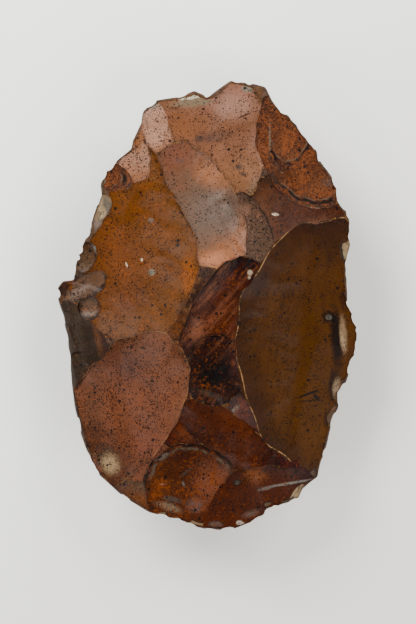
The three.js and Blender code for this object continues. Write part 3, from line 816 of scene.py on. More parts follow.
@dataclass
class StruckFace:
    """One face of the stone with its scars, earliest first."""

    face: Face
    flakes: tuple[Flake, ...]
    lens: float
    scars: list[Scar] = field(default_factory=list)

    def rough_flakes(self) -> list[Flake]:
        """The first, rough flakes all round the edge.

        Returns:
            Flakes that start at the outline and run inwards.
        """
        rows = []
        for k in range(SIZES.rough_flakes):
            angle = (k + SIZES.rough_sway * math.sin(5 * k)) * TURN / SIZES.rough_flakes
            start = SIZES.rough_start * float(PLAN.reach(np.array(angle)))
            radius = SIZES.rough_radius * (1 + SIZES.rough_spread * math.sin(3 * k))
            rows.append(Flake(
                f"rough_{k + 1}", HEART[0] + start * math.cos(angle), HEART[1] + start * math.sin(angle),
                math.degrees(angle) + 180, SIZES.rough_ahead * radius, radius, radius, radius,
                SIZES.rough_depth, SIZES.rough_power, Patina.GREY_BROWN,
            ))
        return rows

    def surface(self, x: np.ndarray, y: np.ndarray) -> np.ndarray:
        """Height of what the scars struck so far have left.

        Args:
            x: Plan millimetres to the right.
            y: Plan millimetres to the tip.

        Returns:
            The heights in millimetres.
        """
        lowest = lens_height(self.lens, PLAN.place(x, y)["share"])
        for scar in self.scars:
            inside = scar.local(x, y)[2] < SIZES.rim_reach
            lowest = np.where(inside, np.minimum(lowest, scar.height(x, y)), lowest)
        return lowest

    def strike(self) -> None:
        """Strikes the flakes in order, each hung from what the earlier ones left."""
        for number, flake in enumerate([*self.rough_flakes(), *self.flakes]):
            scar = Scar(flake, seed=number + FIRST_SEED + FACE_SEED * self.face.value)
            scar.hang(self.surface)
            self.scars.append(scar)

    def owner(self, x: np.ndarray, y: np.ndarray) -> np.ndarray:
        """Which scar lies lowest at each point.

        Args:
            x: Plan millimetres to the right.
            y: Plan millimetres to the tip.

        Returns:
            Index into the scars, or -1 where the lens was never struck.
        """
        lowest = lens_height(self.lens, PLAN.place(x, y)["share"]) + SIZES.owner_gap
        owner = np.full(x.shape, -1)
        for number, scar in enumerate(self.scars):
            near = scar.local(x, y)[2] < SIZES.owner_reach
            height = np.where(near, scar.height(x, y, rippled=True), np.inf)
            owner = np.where(height < lowest, number, owner)
            lowest = np.minimum(lowest, height)
        return owner


def stone_points(x: np.ndarray, y: np.ndarray, height: np.ndarray) -> np.ndarray:
    """Turns plan places and heights over the edge into points, from millimetres to metres."""
    return np.stack([x, y, SIZES.edge_height + height + PLAN.wave(x, y)], axis=-1) * MM


def select_only(piece: bpy.types.Object) -> None:
    """Deselects everything, then selects one object and makes it active.

    Args:
        piece: The object.
    """
    bpy.ops.object.select_all(action="DESELECT")
    piece.select_set(True)
    bpy.context.view_layer.objects.active = piece


def mesh_points(piece: bpy.types.Object) -> np.ndarray:
    """Reads a mesh's vertices.

    Args:
        piece: The mesh object.

    Returns:
        One row of three metres for each vertex.
    """
    points = np.empty(3 * len(piece.data.vertices))
    piece.data.vertices.foreach_get("co", points)
    return points.reshape(-1, 3)


def place_points(piece: bpy.types.Object, points: np.ndarray) -> None:
    """Moves a mesh's vertices to the given points."""
    piece.data.vertices.foreach_set("co", np.ascontiguousarray(points, dtype=np.float64).ravel())
    piece.data.update()


@dataclass
class StoneBlank:
    """The lens that the fine stone is struck from."""

    segments: int = 640
    rings: int = 40
    ragged: float = 0.25
    ragged_seed: int = 7
    ragged_wave: float = 0.11
    crown: float = 0.98
    bulk_power: int = 8
    level: float = 1e-6
    bites: int = 110
    bite_seed: int = 31
    bite_depth: tuple[float, float] = (0.15, 0.75)
    bite_width: tuple[float, float] = (0.7, 2.2)
    smooth_from: float = math.radians(172)
    smooth_to: float = math.radians(212)

    def nibble(self, angle: np.ndarray) -> np.ndarray:
        """How far small chips have pushed the outline in. The left edge has a span without them.

        Args:
            angle: Directions from the heart.

        Returns:
            The depths in millimetres.
        """
        draw = np.random.default_rng(self.bite_seed)
        total = np.zeros_like(angle)
        for centre in draw.uniform(-math.pi, math.pi, self.bites):
            depth, width = draw.uniform(*self.bite_depth), draw.uniform(*self.bite_width)
            if self.smooth_from < centre % TURN < self.smooth_to:
                continue
            aside = (np.mod(angle - centre + math.pi, TURN) - math.pi) * PLAN.reach(angle)
            total = np.maximum(total, depth * np.sqrt(np.clip(1 - (aside / width) ** 2, 0, 1)))
        return total

    def build(self, name: str) -> bpy.types.Object:
        """Lays a sphere's rings along the outline and fills them out to both faces.

        Args:
            name: Name of the piece.

        Returns:
            The closed lens.
        """
        bpy.ops.object.select_all(action="DESELECT")
        bpy.ops.mesh.primitive_uv_sphere_add(segments=self.segments, ring_count=self.rings, radius=1)
        blank = bpy.context.active_object
        blank.name = name
        ball = mesh_points(blank)
        flat = np.minimum(np.hypot(ball[:, 0], ball[:, 1]), 1)
        angle = np.arctan2(ball[:, 1], ball[:, 0])
        uneven = Unevenness(self.ragged_seed, self.ragged_wave)(angle, 0 * angle)
        worn = self.ragged * (0.5 + 0.5 * uneven)
        distance = flat * (PLAN.reach(angle) - worn - self.nibble(angle))
        x = HEART[0] + distance * np.cos(angle)
        y = HEART[1] + distance * np.sin(angle)
        share = np.minimum(PLAN.place(x, y)["share"], 1)
        bulk = SIZES.rim_bulk * share ** self.bulk_power * np.sqrt(1 - share)
        side = np.sign(np.where(np.abs(ball[:, 2]) < self.level, 0, ball[:, 2]))
        rise = np.where(side > 0, SIZES.face_rise, SIZES.belly_drop)
        height = self.crown * side * (np.maximum(lens_height(1, share), 0) * rise + bulk)
        place_points(blank, stone_points(x, y, height))
        return blank


@dataclass
class FlakeCutter:
    """The closed body of a flake and of all that lay over it."""

    scar: Scar
    face: Face
    cell: float
    reach: float = 1.06
    least_cells: int = 6

    def build(self) -> bpy.types.Object:
        """Makes a grid, draws its border up, closes it, and lays the grid into the scar.

        Returns:
            The body to take away.
        """
        flake = self.scar.flake
        columns = max(self.least_cells, round(self.reach * (flake.ahead + flake.back) / self.cell))
        rows = max(self.least_cells, round(self.reach * (flake.left + flake.right) / self.cell))
        bpy.ops.object.select_all(action="DESELECT")
        bpy.ops.mesh.primitive_grid_add(x_subdivisions=columns, y_subdivisions=rows, size=2)
        cutter = bpy.context.active_object
        bpy.ops.object.mode_set(mode="EDIT")
        bpy.ops.mesh.select_mode(type="EDGE")
        bpy.ops.mesh.select_all(action="DESELECT")
        bpy.ops.mesh.select_non_manifold()
        bpy.ops.mesh.extrude_edges_move(TRANSFORM_OT_translate={"value": (0, 0, 1)})
        bpy.ops.mesh.edge_face_add()
        bpy.ops.object.mode_set(mode="OBJECT")
        self.lay(cutter)
        bpy.ops.object.mode_set(mode="EDIT")
        bpy.ops.mesh.select_all(action="SELECT")
        bpy.ops.mesh.normals_make_consistent(inside=False)
        bpy.ops.object.mode_set(mode="OBJECT")
        return cutter

    def lay(self, cutter: bpy.types.Object) -> None:
        """Moves the grid onto the scar's surface and its lid far out over it.

        Args:
            cutter: The square grid with its lid.
        """
        square = mesh_points(cutter)
        gx, gy, lid = square[:, 0], square[:, 1], square[:, 2] > 0.5
        along = gx * np.sqrt(1 - gy ** 2 / 2)
        beside = gy * np.sqrt(1 - gx ** 2 / 2)
        share = self.reach * np.hypot(along, beside)
        x, y, _, _ = self.scar.point(share, np.arctan2(beside, along))
        height = np.where(lid, SIZES.sky, self.scar.height(x, y, rippled=True))
        place_points(cutter, stone_points(x, y, self.face.value * height))


class Knapper:
    """Strikes the fine stone out of its blank."""

    cut_threshold = 1e-7

    def __init__(self, face_cell: float, belly_cell: float) -> None:
        """Strikes the scars of both faces on paper.

        Args:
            face_cell: Millimetres between the points of the worked face's scars.
            belly_cell: The same for the underside.
        """
        self.cells = {Face.WORKED: face_cell, Face.BELLY: belly_cell}
        self.faces = [
            StruckFace(Face.WORKED, FACE_FLAKES, SIZES.face_rise),
            StruckFace(Face.BELLY, BELLY_FLAKES, SIZES.belly_drop),
        ]
        for struck in self.faces:
            struck.strike()

    def take(self, stone: bpy.types.Object, cutter: bpy.types.Object) -> None:
        """Cuts one body away from the stone and clears it.

        Args:
            stone: What is struck.
            cutter: What is taken away.
        """
        select_only(stone)
        cut = stone.modifiers.new("strike", "BOOLEAN")
        cut.operation = "DIFFERENCE"
        cut.solver = "MANIFOLD"
        cut.object = cutter
        bpy.ops.object.modifier_apply(modifier=cut.name)
        gone = cutter.data
        bpy.data.objects.remove(cutter)
        bpy.data.meshes.remove(gone)

    def strike(self, stone: bpy.types.Object) -> None:
        """Takes every flake of both faces away, then the flat that the stone rests on.

        Args:
            stone: The blank.
        """
        for struck in self.faces:
            for scar in struck.scars:
                self.take(stone, FlakeCutter(scar, struck.face, self.cells[struck.face]).build())
        select_only(stone)
        bpy.ops.object.mode_set(mode="EDIT")
        bpy.ops.mesh.select_all(action="SELECT")
        bpy.ops.mesh.bisect(
            plane_co=(0, 0, 0), plane_no=(0, 0, 1), use_fill=True, clear_inner=True,
            threshold=self.cut_threshold)
        bpy.ops.mesh.select_all(action="SELECT")
        bpy.ops.mesh.quads_convert_to_tris(quad_method="BEAUTY", ngon_method="BEAUTY")
        bpy.ops.object.mode_set(mode="OBJECT")


@dataclass(frozen=True)
class Cloud:
    """A cloudy noise: its clouds per millimetre, its finer layers and how strong they are."""

    scale: float
    detail: float = 3.0
    roughness: float = 0.55


@dataclass(frozen=True)
class Ramp:
    """A smooth change of the result while a value goes from low to high.

    Each field is a number or a socket.
    """

    low: object
    high: object
    to_low: object = 0.0
    to_high: object = 1.0


class NodeBoard:
    """Lays out shader nodes in one tree and joins them."""

    noise_mean = 0.5
    mix_inputs = (0, 6, 7)
    mix_output = 2

    def __init__(self, tree: bpy.types.NodeTree) -> None:
        """Keeps the tree and clears it."""
        self.tree = tree
        tree.nodes.clear()

    def add(self, kind: str, settings: dict[str, object] | None = None, **inputs: object) -> bpy.types.Node:
        """Adds one node.

        Args:
            kind: The node's type name.
            settings: Properties of the node.
            **inputs: Values or sockets for its inputs, by name with blanks as underscores.

        Returns:
            The node.
        """
        node = self.tree.nodes.new(kind)
        for name, value in (settings or {}).items():
            setattr(node, name, value)
        self.feed_all(node, inputs)
        return node

    def group(self, effect: bpy.types.NodeTree, **inputs: object) -> bpy.types.Node:
        """Places a shared effect with its own values."""
        return self.add("ShaderNodeGroup", {"node_tree": effect}, **inputs)

    def feed(self, socket: Socket, value: object) -> None:
        """Joins a socket to another, or sets its value.

        Args:
            socket: The input socket.
            value: The socket or value that it gets.
        """
        if isinstance(value, Socket):
            self.tree.links.new(value, socket)
        else:
            socket.default_value = value

    def feed_all(self, node: bpy.types.Node, inputs: dict[str, object]) -> None:
        """Feeds a node's inputs, named with blanks as underscores."""
        for name, value in inputs.items():
            self.feed(node.inputs[name.replace("_", " ")], value)

    def value(self, name: str) -> Socket:
        """A value that the mesh carries at each point."""
        return self.add("ShaderNodeAttribute", {"attribute_name": name}).outputs["Fac"]

    def combine(self, kind: str, operation: str, values: tuple[object, ...]) -> Socket:
        """Works one result out of several values.

        Args:
            kind: The node's type name.
            operation: Name of the operation.
            values: Numbers, vectors or sockets.

        Returns:
            The result's socket.
        """
        node = self.add(kind, {"operation": operation})
        for number, value in enumerate(values):
            self.feed(node.inputs[number], value)
        return node.outputs[0]

    def math(self, operation: str, *values: object) -> Socket:
        """Works with plain values."""
        return self.combine("ShaderNodeMath", operation, values)

    def vector(self, operation: str, *values: object) -> Socket:
        """Works with vectors."""
        return self.combine("ShaderNodeVectorMath", operation, values)

    def plus(self, first: object, second: object) -> Socket:
        """Adds two values."""
        return self.math("ADD", first, second)

    def minus(self, first: object, second: object) -> Socket:
        """Takes the second value from the first."""
        return self.math("SUBTRACT", first, second)

    def times(self, first: object, second: object) -> Socket:
        """Multiplies two values."""
        return self.math("MULTIPLY", first, second)

    def ramp(self, value: object, ramp: Ramp) -> Socket:
        """Sends a value up or down a ramp.

        Args:
            value: The value or socket.
            ramp: The ramp.

        Returns:
            The result's socket.
        """
        node = self.add("ShaderNodeMapRange", {"interpolation_type": "SMOOTHSTEP"}, Value=value,
                        From_Min=ramp.low, From_Max=ramp.high, To_Min=ramp.to_low, To_Max=ramp.to_high)
        return node.outputs["Result"]

    def mix(self, share: object, first: object, second: object) -> Socket:
        """Mixes two colours.

        Args:
            share: How much of the second.
            first: A colour or socket.
            second: A colour or socket.

        Returns:
            The mixed colour's socket.
        """
        node = self.add("ShaderNodeMix", {"data_type": "RGBA"})
        for number, value in zip(self.mix_inputs, (share, first, second)):
            self.feed(node.inputs[number], value)
        return node.outputs[self.mix_output]

    def noise(self, where: Socket, cloud: Cloud) -> Socket:
        """Cloudy noise of about 0 to 1.

        Args:
            where: The coordinates, in millimetres.
            cloud: How coarse it is.

        Returns:
            The noise's socket.
        """
        node = self.add("ShaderNodeTexNoise", Vector=where, Scale=cloud.scale, Detail=cloud.detail,
                        Roughness=cloud.roughness)
        return node.outputs["Fac"]

    def sway(self, where: Socket, cloud: Cloud, amount: object) -> Socket:
        """Noise that swings about zero, times an amount."""
        return self.times(self.minus(self.noise(where, cloud), self.noise_mean), amount)

    def cells(self, where: Socket, scale: object) -> tuple[Socket, ...]:
        """Scattered cells, each with three random values.

        Args:
            where: The coordinates, in millimetres.
            scale: Cells per millimetre.

        Returns:
            The distance from the cell's middle, and its three random values.
        """
        cells = self.add("ShaderNodeTexVoronoi", Vector=where, Scale=scale, Randomness=1.0).outputs
        draws = self.add("ShaderNodeSeparateColor", Color=cells["Color"]).outputs
        return cells["Distance"], draws["Red"], draws["Green"], draws["Blue"]

    def turn_back(self, where: Socket, turn: Socket) -> Socket:
        """Turns coordinates clockwise on the plan.

        Args:
            where: The coordinates.
            turn: The angle in radians.

        Returns:
            The turned coordinates' socket.
        """
        node = self.add("ShaderNodeVectorRotate", {"rotation_type": "Z_AXIS"}, Vector=where,
                        Angle=self.times(turn, -1.0))
        return node.outputs[0]


class Effects:
    """The shared effects of all the finishes, each built once as a node group."""

    broad_cloud = Cloud(0.11, 5.0, 0.62)
    tiny_cloud = Cloud(2.6, 3.0, 0.7)
    warm_cloud = Cloud(1.15, 4.0, 0.7)
    warm_patches = Cloud(0.23, 2.0, 0.5)
    dark_cloud = Cloud(1.5, 5.0, 0.75)
    broad_light = 2.2
    tiny_light = 1.1
    grain_edge = 0.74
    warm_softness = 0.16
    warm_share = 0.75
    dark_shift = (31.0, 17.0, 5.0)
    dark_reach = 0.3
    dark_softness = 0.12
    dark_share = 0.7
    dark_height = 0.6

    speck_warp = Cloud(2.0, 2.0)
    speck_warp_amount = 0.12
    speck_crowds = Cloud(0.16, 3.0, 0.6)
    crowding = Ramp(0.35, 0.65, 0.3, 1.5)
    speck_radius = Ramp(0.0, 1.0, 0.18, 0.42)
    speck_softness = 0.07

    oval_border = Cloud(0.55, 4.0, 0.65)
    oval_sway = 0.9
    oval_spread = 0.4

    streak_stretch = (0.07, 0.7, 0.3)
    streak_cloud = Cloud(1.0, 4.0, 0.65)
    streak_ramp = Ramp(0.5, 0.66)

    hinge_wobble = Cloud(0.2, 2.0)
    hinge_sway = 1.6
    hinge_end = Ramp(0.05, 0.35)
    hinge_breaks = Cloud(0.35, 2.0)
    hinge_broken = Ramp(0.4, 0.56, 0.15, 1.0)
    highlight_core = 0.06
    black_offset = 0.5
    black_ramp = Ramp(0.25, 0.65, 0.9, 0.0)

    wear_patches = Cloud(0.45, 3.0, 0.6)
    wear_grain = Cloud(1.8, 2.0, 0.6)
    grain_shift = 0.3
    crust_width = Ramp(0.46, 0.7, 0.16, 0.9)
    crust_core = 0.1
    crust_share = 0.85
    ridge_shade = Ramp(0.3, 0.9, 0.3, 0.0)
    ridge_line = Ramp(0.1, 0.26, 1.0, 0.0)
    ridge_patches = Ramp(0.44, 0.6, 0.1, 0.9)
    border_sway = 0.9
    border_ramp = Ramp(0.35, 1.2, 0.75, 0.0)
    chip_scale = 0.3
    chip_depth = Ramp(0.0, 1.0, 0.5, 2.3)
    chip_sway = 0.5
    chip_softness = 0.2
    chip_share = 0.85
    ring_width = 0.7
    ring_share = 0.8

    def __init__(self) -> None:
        """Builds every group."""
        self.grain = self.build_grain()
        self.specks = self.build_specks()
        self.stain_and_light = self.build_stain_and_light()
        self.streaks = self.build_streaks()
        self.hinge = self.build_hinge()
        self.wear = self.build_wear()

    def start(
            self, name: str, inputs: dict[str, str], outputs: dict[str, str],
    ) -> tuple[NodeBoard, dict[str, Socket], bpy.types.Node]:
        """Starts a group with named inputs and outputs.

        Args:
            name: The group's name.
            inputs: Socket kinds by name.
            outputs: Socket kinds by name.

        Returns:
            The board, the input sockets by name, and the output node.
        """
        tree = bpy.data.node_groups.new(name, "ShaderNodeTree")
        board = NodeBoard(tree)
        for way, sockets in (("INPUT", inputs), ("OUTPUT", outputs)):
            for label, kind in sockets.items():
                tree.interface.new_socket(label, in_out=way, socket_type=f"NodeSocket{kind}")
        source = tree.nodes.new("NodeGroupInput")
        return board, {label: source.outputs[label] for label in inputs}, tree.nodes.new("NodeGroupOutput")

    def build_grain(self) -> bpy.types.NodeTree:
        """Broad clouds, a fine warm grain and a fine dark grain over a base colour.

        Returns:
            The group.
        """
        board, source, out = self.start(
            "flint_grain",
            {"Where": "Vector", "Base": "Color", "Warm": "Color", "Warmth": "Float", "Dark": "Color",
             "Darkness": "Float", "Cloud": "Float"},
            {"Color": "Color", "Height": "Float"},
        )
        where = source["Where"]
        swing = board.times(board.sway(where, self.broad_cloud, source["Cloud"]), self.broad_light)
        light = board.plus(board.plus(1.0, swing), board.sway(where, self.tiny_cloud, self.tiny_light))
        clouded = board.add("ShaderNodeHueSaturation", Color=source["Base"], Value=light).outputs["Color"]
        warm_noise = board.noise(where, self.warm_cloud)
        patchy = board.noise(where, self.warm_patches)
        warm_edge = board.minus(self.grain_edge, board.times(source["Warmth"], patchy))
        warm_mask = board.ramp(warm_noise, Ramp(warm_edge, board.plus(warm_edge, self.warm_softness)))
        warmed = board.mix(board.times(warm_mask, self.warm_share), clouded, source["Warm"])
        dark_noise = board.noise(board.vector("ADD", where, self.dark_shift), self.dark_cloud)
        dark_edge = board.minus(self.grain_edge, board.times(source["Darkness"], self.dark_reach))
        dark_mask = board.ramp(dark_noise, Ramp(dark_edge, board.plus(dark_edge, self.dark_softness)))
        shaded = board.mix(board.times(dark_mask, self.dark_share), warmed, source["Dark"])
        rough = board.plus(board.times(dark_noise, self.dark_height), warm_noise)
        board.feed_all(out, {"Color": shaded, "Height": board.minus(rough, dark_mask)})
        return board.tree

    def build_specks(self) -> bpy.types.NodeTree:
        """Small black specks, each a shallow pit, denser in some places than in others.

        Returns:
            The group.
        """
        board, source, out = self.start(
            "black_specks",
            {"Where": "Vector", "Amount": "Float", "Scale": "Float"},
            {"Mask": "Float", "Height": "Float"},
        )
        warp = board.noise(source["Where"], self.speck_warp)
        middle, chance, width, _ = board.cells(source["Where"], source["Scale"])
        crowd = board.ramp(board.noise(source["Where"], self.speck_crowds), self.crowding)
        chosen = board.math("LESS_THAN", chance, board.times(source["Amount"], crowd))
        radius = board.ramp(width, self.speck_radius)
        distance = board.plus(middle, board.times(warp, self.speck_warp_amount))
        dot = board.ramp(distance, Ramp(radius, board.plus(radius, self.speck_softness), 1.0, 0.0))
        mask = board.times(dot, chosen)
        board.feed_all(out, {"Mask": mask, "Height": board.times(mask, -1.0)})
        return board.tree

    def build_stain_and_light(self) -> bpy.types.NodeTree:
        """An uneven oval on the plan.

        Returns:
            The group.
        """
        board, source, out = self.start(
            "plan_stain_and_light",
            {"Where": "Vector", "Centre": "Vector", "Size": "Vector", "Turn": "Float", "Softness": "Float",
             "Strength": "Float"},
            {"Mask": "Float"},
        )
        moved = board.vector("SUBTRACT", source["Where"], source["Centre"])
        scaled = board.vector("DIVIDE", board.turn_back(moved, source["Turn"]), source["Size"])
        parts = board.add("ShaderNodeSeparateXYZ", Vector=scaled).outputs
        squares = board.plus(board.times(parts["X"], parts["X"]), board.times(parts["Y"], parts["Y"]))
        uneven = board.sway(source["Where"], self.oval_border, self.oval_sway)
        distance = board.plus(board.math("SQRT", squares), uneven)
        inner = board.minus(1.0, source["Softness"])
        outer = board.plus(1.0, board.times(source["Softness"], self.oval_spread))
        mask = board.ramp(distance, Ramp(inner, outer, 1.0, 0.0))
        board.feed_all(out, {"Mask": board.times(mask, source["Strength"])})
        return board.tree

    def build_streaks(self) -> bpy.types.NodeTree:
        """Bands that run one way across the stone.

        Returns:
            The group.
        """
        board, source, out = self.start(
            "flow_streaks", {"Where": "Vector", "Turn": "Float", "Amount": "Float"}, {"Mask": "Float"})
        turned = board.turn_back(source["Where"], source["Turn"])
        drawn = board.add("ShaderNodeMapping", Vector=turned, Scale=self.streak_stretch).outputs["Vector"]
        band = board.ramp(board.noise(drawn, self.streak_cloud), self.streak_ramp)
        board.feed_all(out, {"Mask": board.times(band, source["Amount"])})
        return board.tree

    def build_hinge(self) -> bpy.types.NodeTree:
        """A painted highlight along the hinge's lip and a black line beside it, where the flake broke off
        short.

        Returns:
            The group.
        """
        board, source, out = self.start(
            "hinge_lines",
            {"Where": "Vector", "Rim": "Float", "Along": "Float", "At": "Float", "Width": "Float"},
            {"Highlight": "Float", "Black": "Float"},
        )
        wobble = board.sway(source["Where"], self.hinge_wobble, self.hinge_sway)
        apart = board.minus(board.plus(source["Rim"], wobble), source["At"])
        broken = board.ramp(board.noise(source["Where"], self.hinge_breaks), self.hinge_broken)
        kept = board.times(board.ramp(source["Along"], self.hinge_end), broken)
        # painted highlight along the hinge's lip
        highlight = board.ramp(board.math("ABSOLUTE", apart), Ramp(self.highlight_core, source["Width"], 1.0, 0.0))
        beside = board.math("ABSOLUTE", board.plus(board.plus(apart, self.black_offset), source["Width"]))
        black = board.ramp(beside, self.black_ramp)
        board.feed_all(out, {"Highlight": board.times(highlight, kept), "Black": board.times(black, kept)})
        return board.tree

    def build_wear(self) -> bpy.types.NodeTree:
        """Pale wear on ridges, dark crust in creases, and a dark band and chips round the outline.

        Returns:
            The group.
        """
        board, source, out = self.start(
            "ridge_wear",
            {"Where": "Vector", "Base": "Color", "Ridge": "Float", "Crease": "Float", "Inward": "Float",
             "Wear": "Float", "Chips": "Float"},
            {"Color": "Color"},
        )
        patchy = board.noise(source["Where"], self.wear_patches)
        fine = board.noise(source["Where"], self.wear_grain)
        shift = board.times(fine, self.grain_shift)
        width = board.ramp(patchy, self.crust_width)
        crease = board.plus(source["Crease"], shift)
        crust = board.ramp(crease, Ramp(self.crust_core, width, self.crust_share, 0.0))
        crusted = board.mix(crust, source["Base"], pigment(*CREASE_CRUST))
        near = board.plus(source["Ridge"], shift)
        shaded = board.mix(board.ramp(near, self.ridge_shade), crusted, pigment(*RIDGE_SHADE))
        worn = board.times(board.ramp(near, self.ridge_line), board.ramp(patchy, self.ridge_patches))
        lined = board.mix(board.times(worn, source["Wear"]), shaded, pigment(*WORN_RIDGE))
        border = board.plus(source["Inward"], board.times(patchy, self.border_sway))
        banded = board.mix(board.ramp(border, self.border_ramp), lined, pigment(*BORDER_BAND))
        inward = board.plus(source["Inward"], board.times(fine, self.chip_sway))
        board.feed_all(out, {"Color": self.chipped(board, source, inward, banded)})
        return board.tree

    def chipped(self, board: NodeBoard, source: dict[str, Socket], inward: Socket, colour: Socket) -> Socket:
        """Lays bare chips with dark rings along the outline.

        Args:
            board: The wear group's board.
            source: The group's input sockets by name.
            inward: Millimetres inward from the outline, made uneven.
            colour: The colour under the chips.

        Returns:
            The colour with the chips.
        """
        _, chance, size, tone = board.cells(source["Where"], self.chip_scale)
        chosen = board.math("LESS_THAN", chance, source["Chips"])
        depth = board.ramp(size, self.chip_depth)
        bare = board.ramp(inward, Ramp(depth, board.plus(depth, self.chip_softness), 1.0, 0.0))
        ring = board.ramp(inward, Ramp(depth, board.plus(depth, self.ring_width), self.ring_share, 0.0))
        ringed = board.mix(board.times(chosen, ring), colour, pigment(*CHIP_RING))
        chip = board.times(board.times(chosen, bare), self.chip_share)
        return board.mix(chip, ringed, board.mix(tone, pigment(*CHIP_DARK), pigment(*CHIP_PALE)))


@dataclass(frozen=True)
class SpeckSize:
    """One size of black specks: its specks per millimetre, its share of the amount, its strength."""

    scale: float
    share: float
    strength: float


class PatinaShop:
    """Makes the material of each finish from the shared effects."""

    speck_sizes = (SpeckSize(1.7, 1.0, 1.0), SpeckSize(0.8, 0.18, 1.0), SpeckSize(2.9, 1.1, 0.8))
    speck_share = 0.88
    wander = Cloud(0.14, 3.0)
    wander_amount = 1.1
    wander_share = 0.25
    start_ramp = Ramp(-0.75, -0.05)
    end_ramp = Ramp(0.25, 0.85)
    rim_from = 0.72
    line_place = 0.24
    line_ramp = Ramp(0.06, 0.22, 1.0, 0.0)
    line_breaks = Cloud(0.4, 3.0)
    line_broken = Ramp(0.42, 0.56, 0.15, 1.0)
    grain_height = 0.25
    speck_height = -0.8
    bump_strength = 0.9
    bump_distance = 0.0002
    grain_mean = 0.5
    grain_roughness = 0.12
    refraction = 1.5

    def __init__(self) -> None:
        """Builds the effects."""
        self.effects = Effects()

    def scar_colour(self, board: NodeBoard, finish: Finish, where: Socket) -> Socket:
        """The scar's base colour, changing along its run and towards its rim.

        Args:
            board: The material's board.
            finish: The finish.
            where: Coordinates in millimetres.

        Returns:
            The colour's socket.
        """
        wander = board.sway(where, self.wander, self.wander_amount)
        along = board.plus(board.value("along"), wander)
        first = board.mix(board.ramp(along, self.start_ramp), pigment(*finish.start), pigment(*finish.body))
        both = board.mix(board.ramp(along, self.end_ramp), first, pigment(*finish.end))
        share = board.plus(board.value("share"), board.times(wander, self.wander_share))
        shade = board.ramp(share, Ramp(self.rim_from, 1.0, 0.0, finish.rim_shade))
        return board.mix(shade, both, pigment(*finish.rim))

    def marked_colour(self, board: NodeBoard, finish: Finish, where: Socket) -> Socket:
        """The scar's colour with its streaks and its marks: the stone's own discolouring, painted sheen,
        painted highlight and painted shade.

        Args:
            board: The material's board.
            finish: The finish.
            where: Coordinates in millimetres.

        Returns:
            The colour's socket.
        """
        colour = self.scar_colour(board, finish, where)
        if finish.streaks:
            band = board.group(self.effects.streaks, Where=where, Turn=math.radians(finish.streak_turn),
                               Amount=finish.streaks)
            colour = board.mix(band.outputs["Mask"], colour, pigment(*finish.streak))
        for stain_and_light in finish.stains_and_light:
            mark = board.group(
                self.effects.stain_and_light, Where=where, Centre=(stain_and_light.x, stain_and_light.y, 0), Turn=math.radians(stain_and_light.turn),
                Size=(stain_and_light.length, stain_and_light.width, 1), Softness=stain_and_light.softness, Strength=stain_and_light.strength)
            colour = board.mix(mark.outputs["Mask"], colour, pigment(*stain_and_light.colour))
        return colour

    def speck_mask(self, board: NodeBoard, finish: Finish, where: Socket) -> Socket:
        """Where the black specks of all sizes lie.

        Args:
            board: The material's board.
            finish: The finish.
            where: Coordinates in millimetres.

        Returns:
            The mask's socket.
        """
        mask = 0.0
        for size in self.speck_sizes:
            specks = board.group(self.effects.specks, Where=where, Amount=size.share * finish.specks,
                                 Scale=size.scale)
            mask = board.math("MAXIMUM", mask, board.times(specks.outputs["Mask"], size.strength))
        return mask

    def lined(self, board: NodeBoard, finish: Finish, where: Socket, colour: Socket) -> Socket:
        """Draws the pale line inside the scar's rim, and the hinge's painted highlight and black line.

        Args:
            board: The material's board.
            finish: The finish.
            where: Coordinates in millimetres.
            colour: The colour under the lines.

        Returns:
            The colour with the lines.
        """
        rim = board.value("rim")
        line = board.ramp(board.math("ABSOLUTE", board.minus(rim, self.line_place)), self.line_ramp)
        broken = board.ramp(board.noise(where, self.line_breaks), self.line_broken)
        shown = board.times(board.times(line, broken), finish.rim_line)
        colour = board.mix(shown, colour, pigment(*RIM_LINE))
        if finish.hinge:
            lines = board.group(self.effects.hinge, Where=where, Rim=rim, Along=board.value("along"),
                                At=finish.hinge, Width=finish.hinge_width)
            colour = board.mix(lines.outputs["Black"], colour, pigment(*BLACK_CRUST))
            # painted highlight along the hinge's lip
            colour = board.mix(lines.outputs["Highlight"], colour, pigment(*HINGE_HIGHLIGHT))
        return colour

    def make(self, patina: Patina, finish: Finish) -> bpy.types.Material:
        """Makes one finish.

        Args:
            patina: Which finish it is.
            finish: Its colours and amounts.

        Returns:
            The material.
        """
        material = bpy.data.materials.new(f"flint_{patina.value}")
        material.use_nodes = True
        board = NodeBoard(material.node_tree)
        place = board.add("ShaderNodeTexCoord").outputs["Object"]
        where = board.add("ShaderNodeMapping", Vector=place, Scale=(1 / MM,) * 3).outputs["Vector"]
        grain = board.group(
            self.effects.grain, Where=where, Base=self.marked_colour(board, finish, where),
            Warm=pigment(*finish.warm), Warmth=finish.warmth, Dark=pigment(*finish.dark),
            Darkness=finish.darkness, Cloud=finish.cloud)
        specks = self.speck_mask(board, finish, where)
        speckled = board.times(specks, self.speck_share)
        specked = board.mix(speckled, grain.outputs["Color"], pigment(*SPECK_BLACK))
        wear = board.group(
            self.effects.wear, Where=where, Base=self.lined(board, finish, where, specked),
            Ridge=board.value("ridge"), Crease=board.value("crease"), Inward=board.value("inward"),
            Wear=finish.wear, Chips=finish.chips)
        self.shade(board, finish, wear.outputs["Color"], grain.outputs["Height"], specks)
        return material

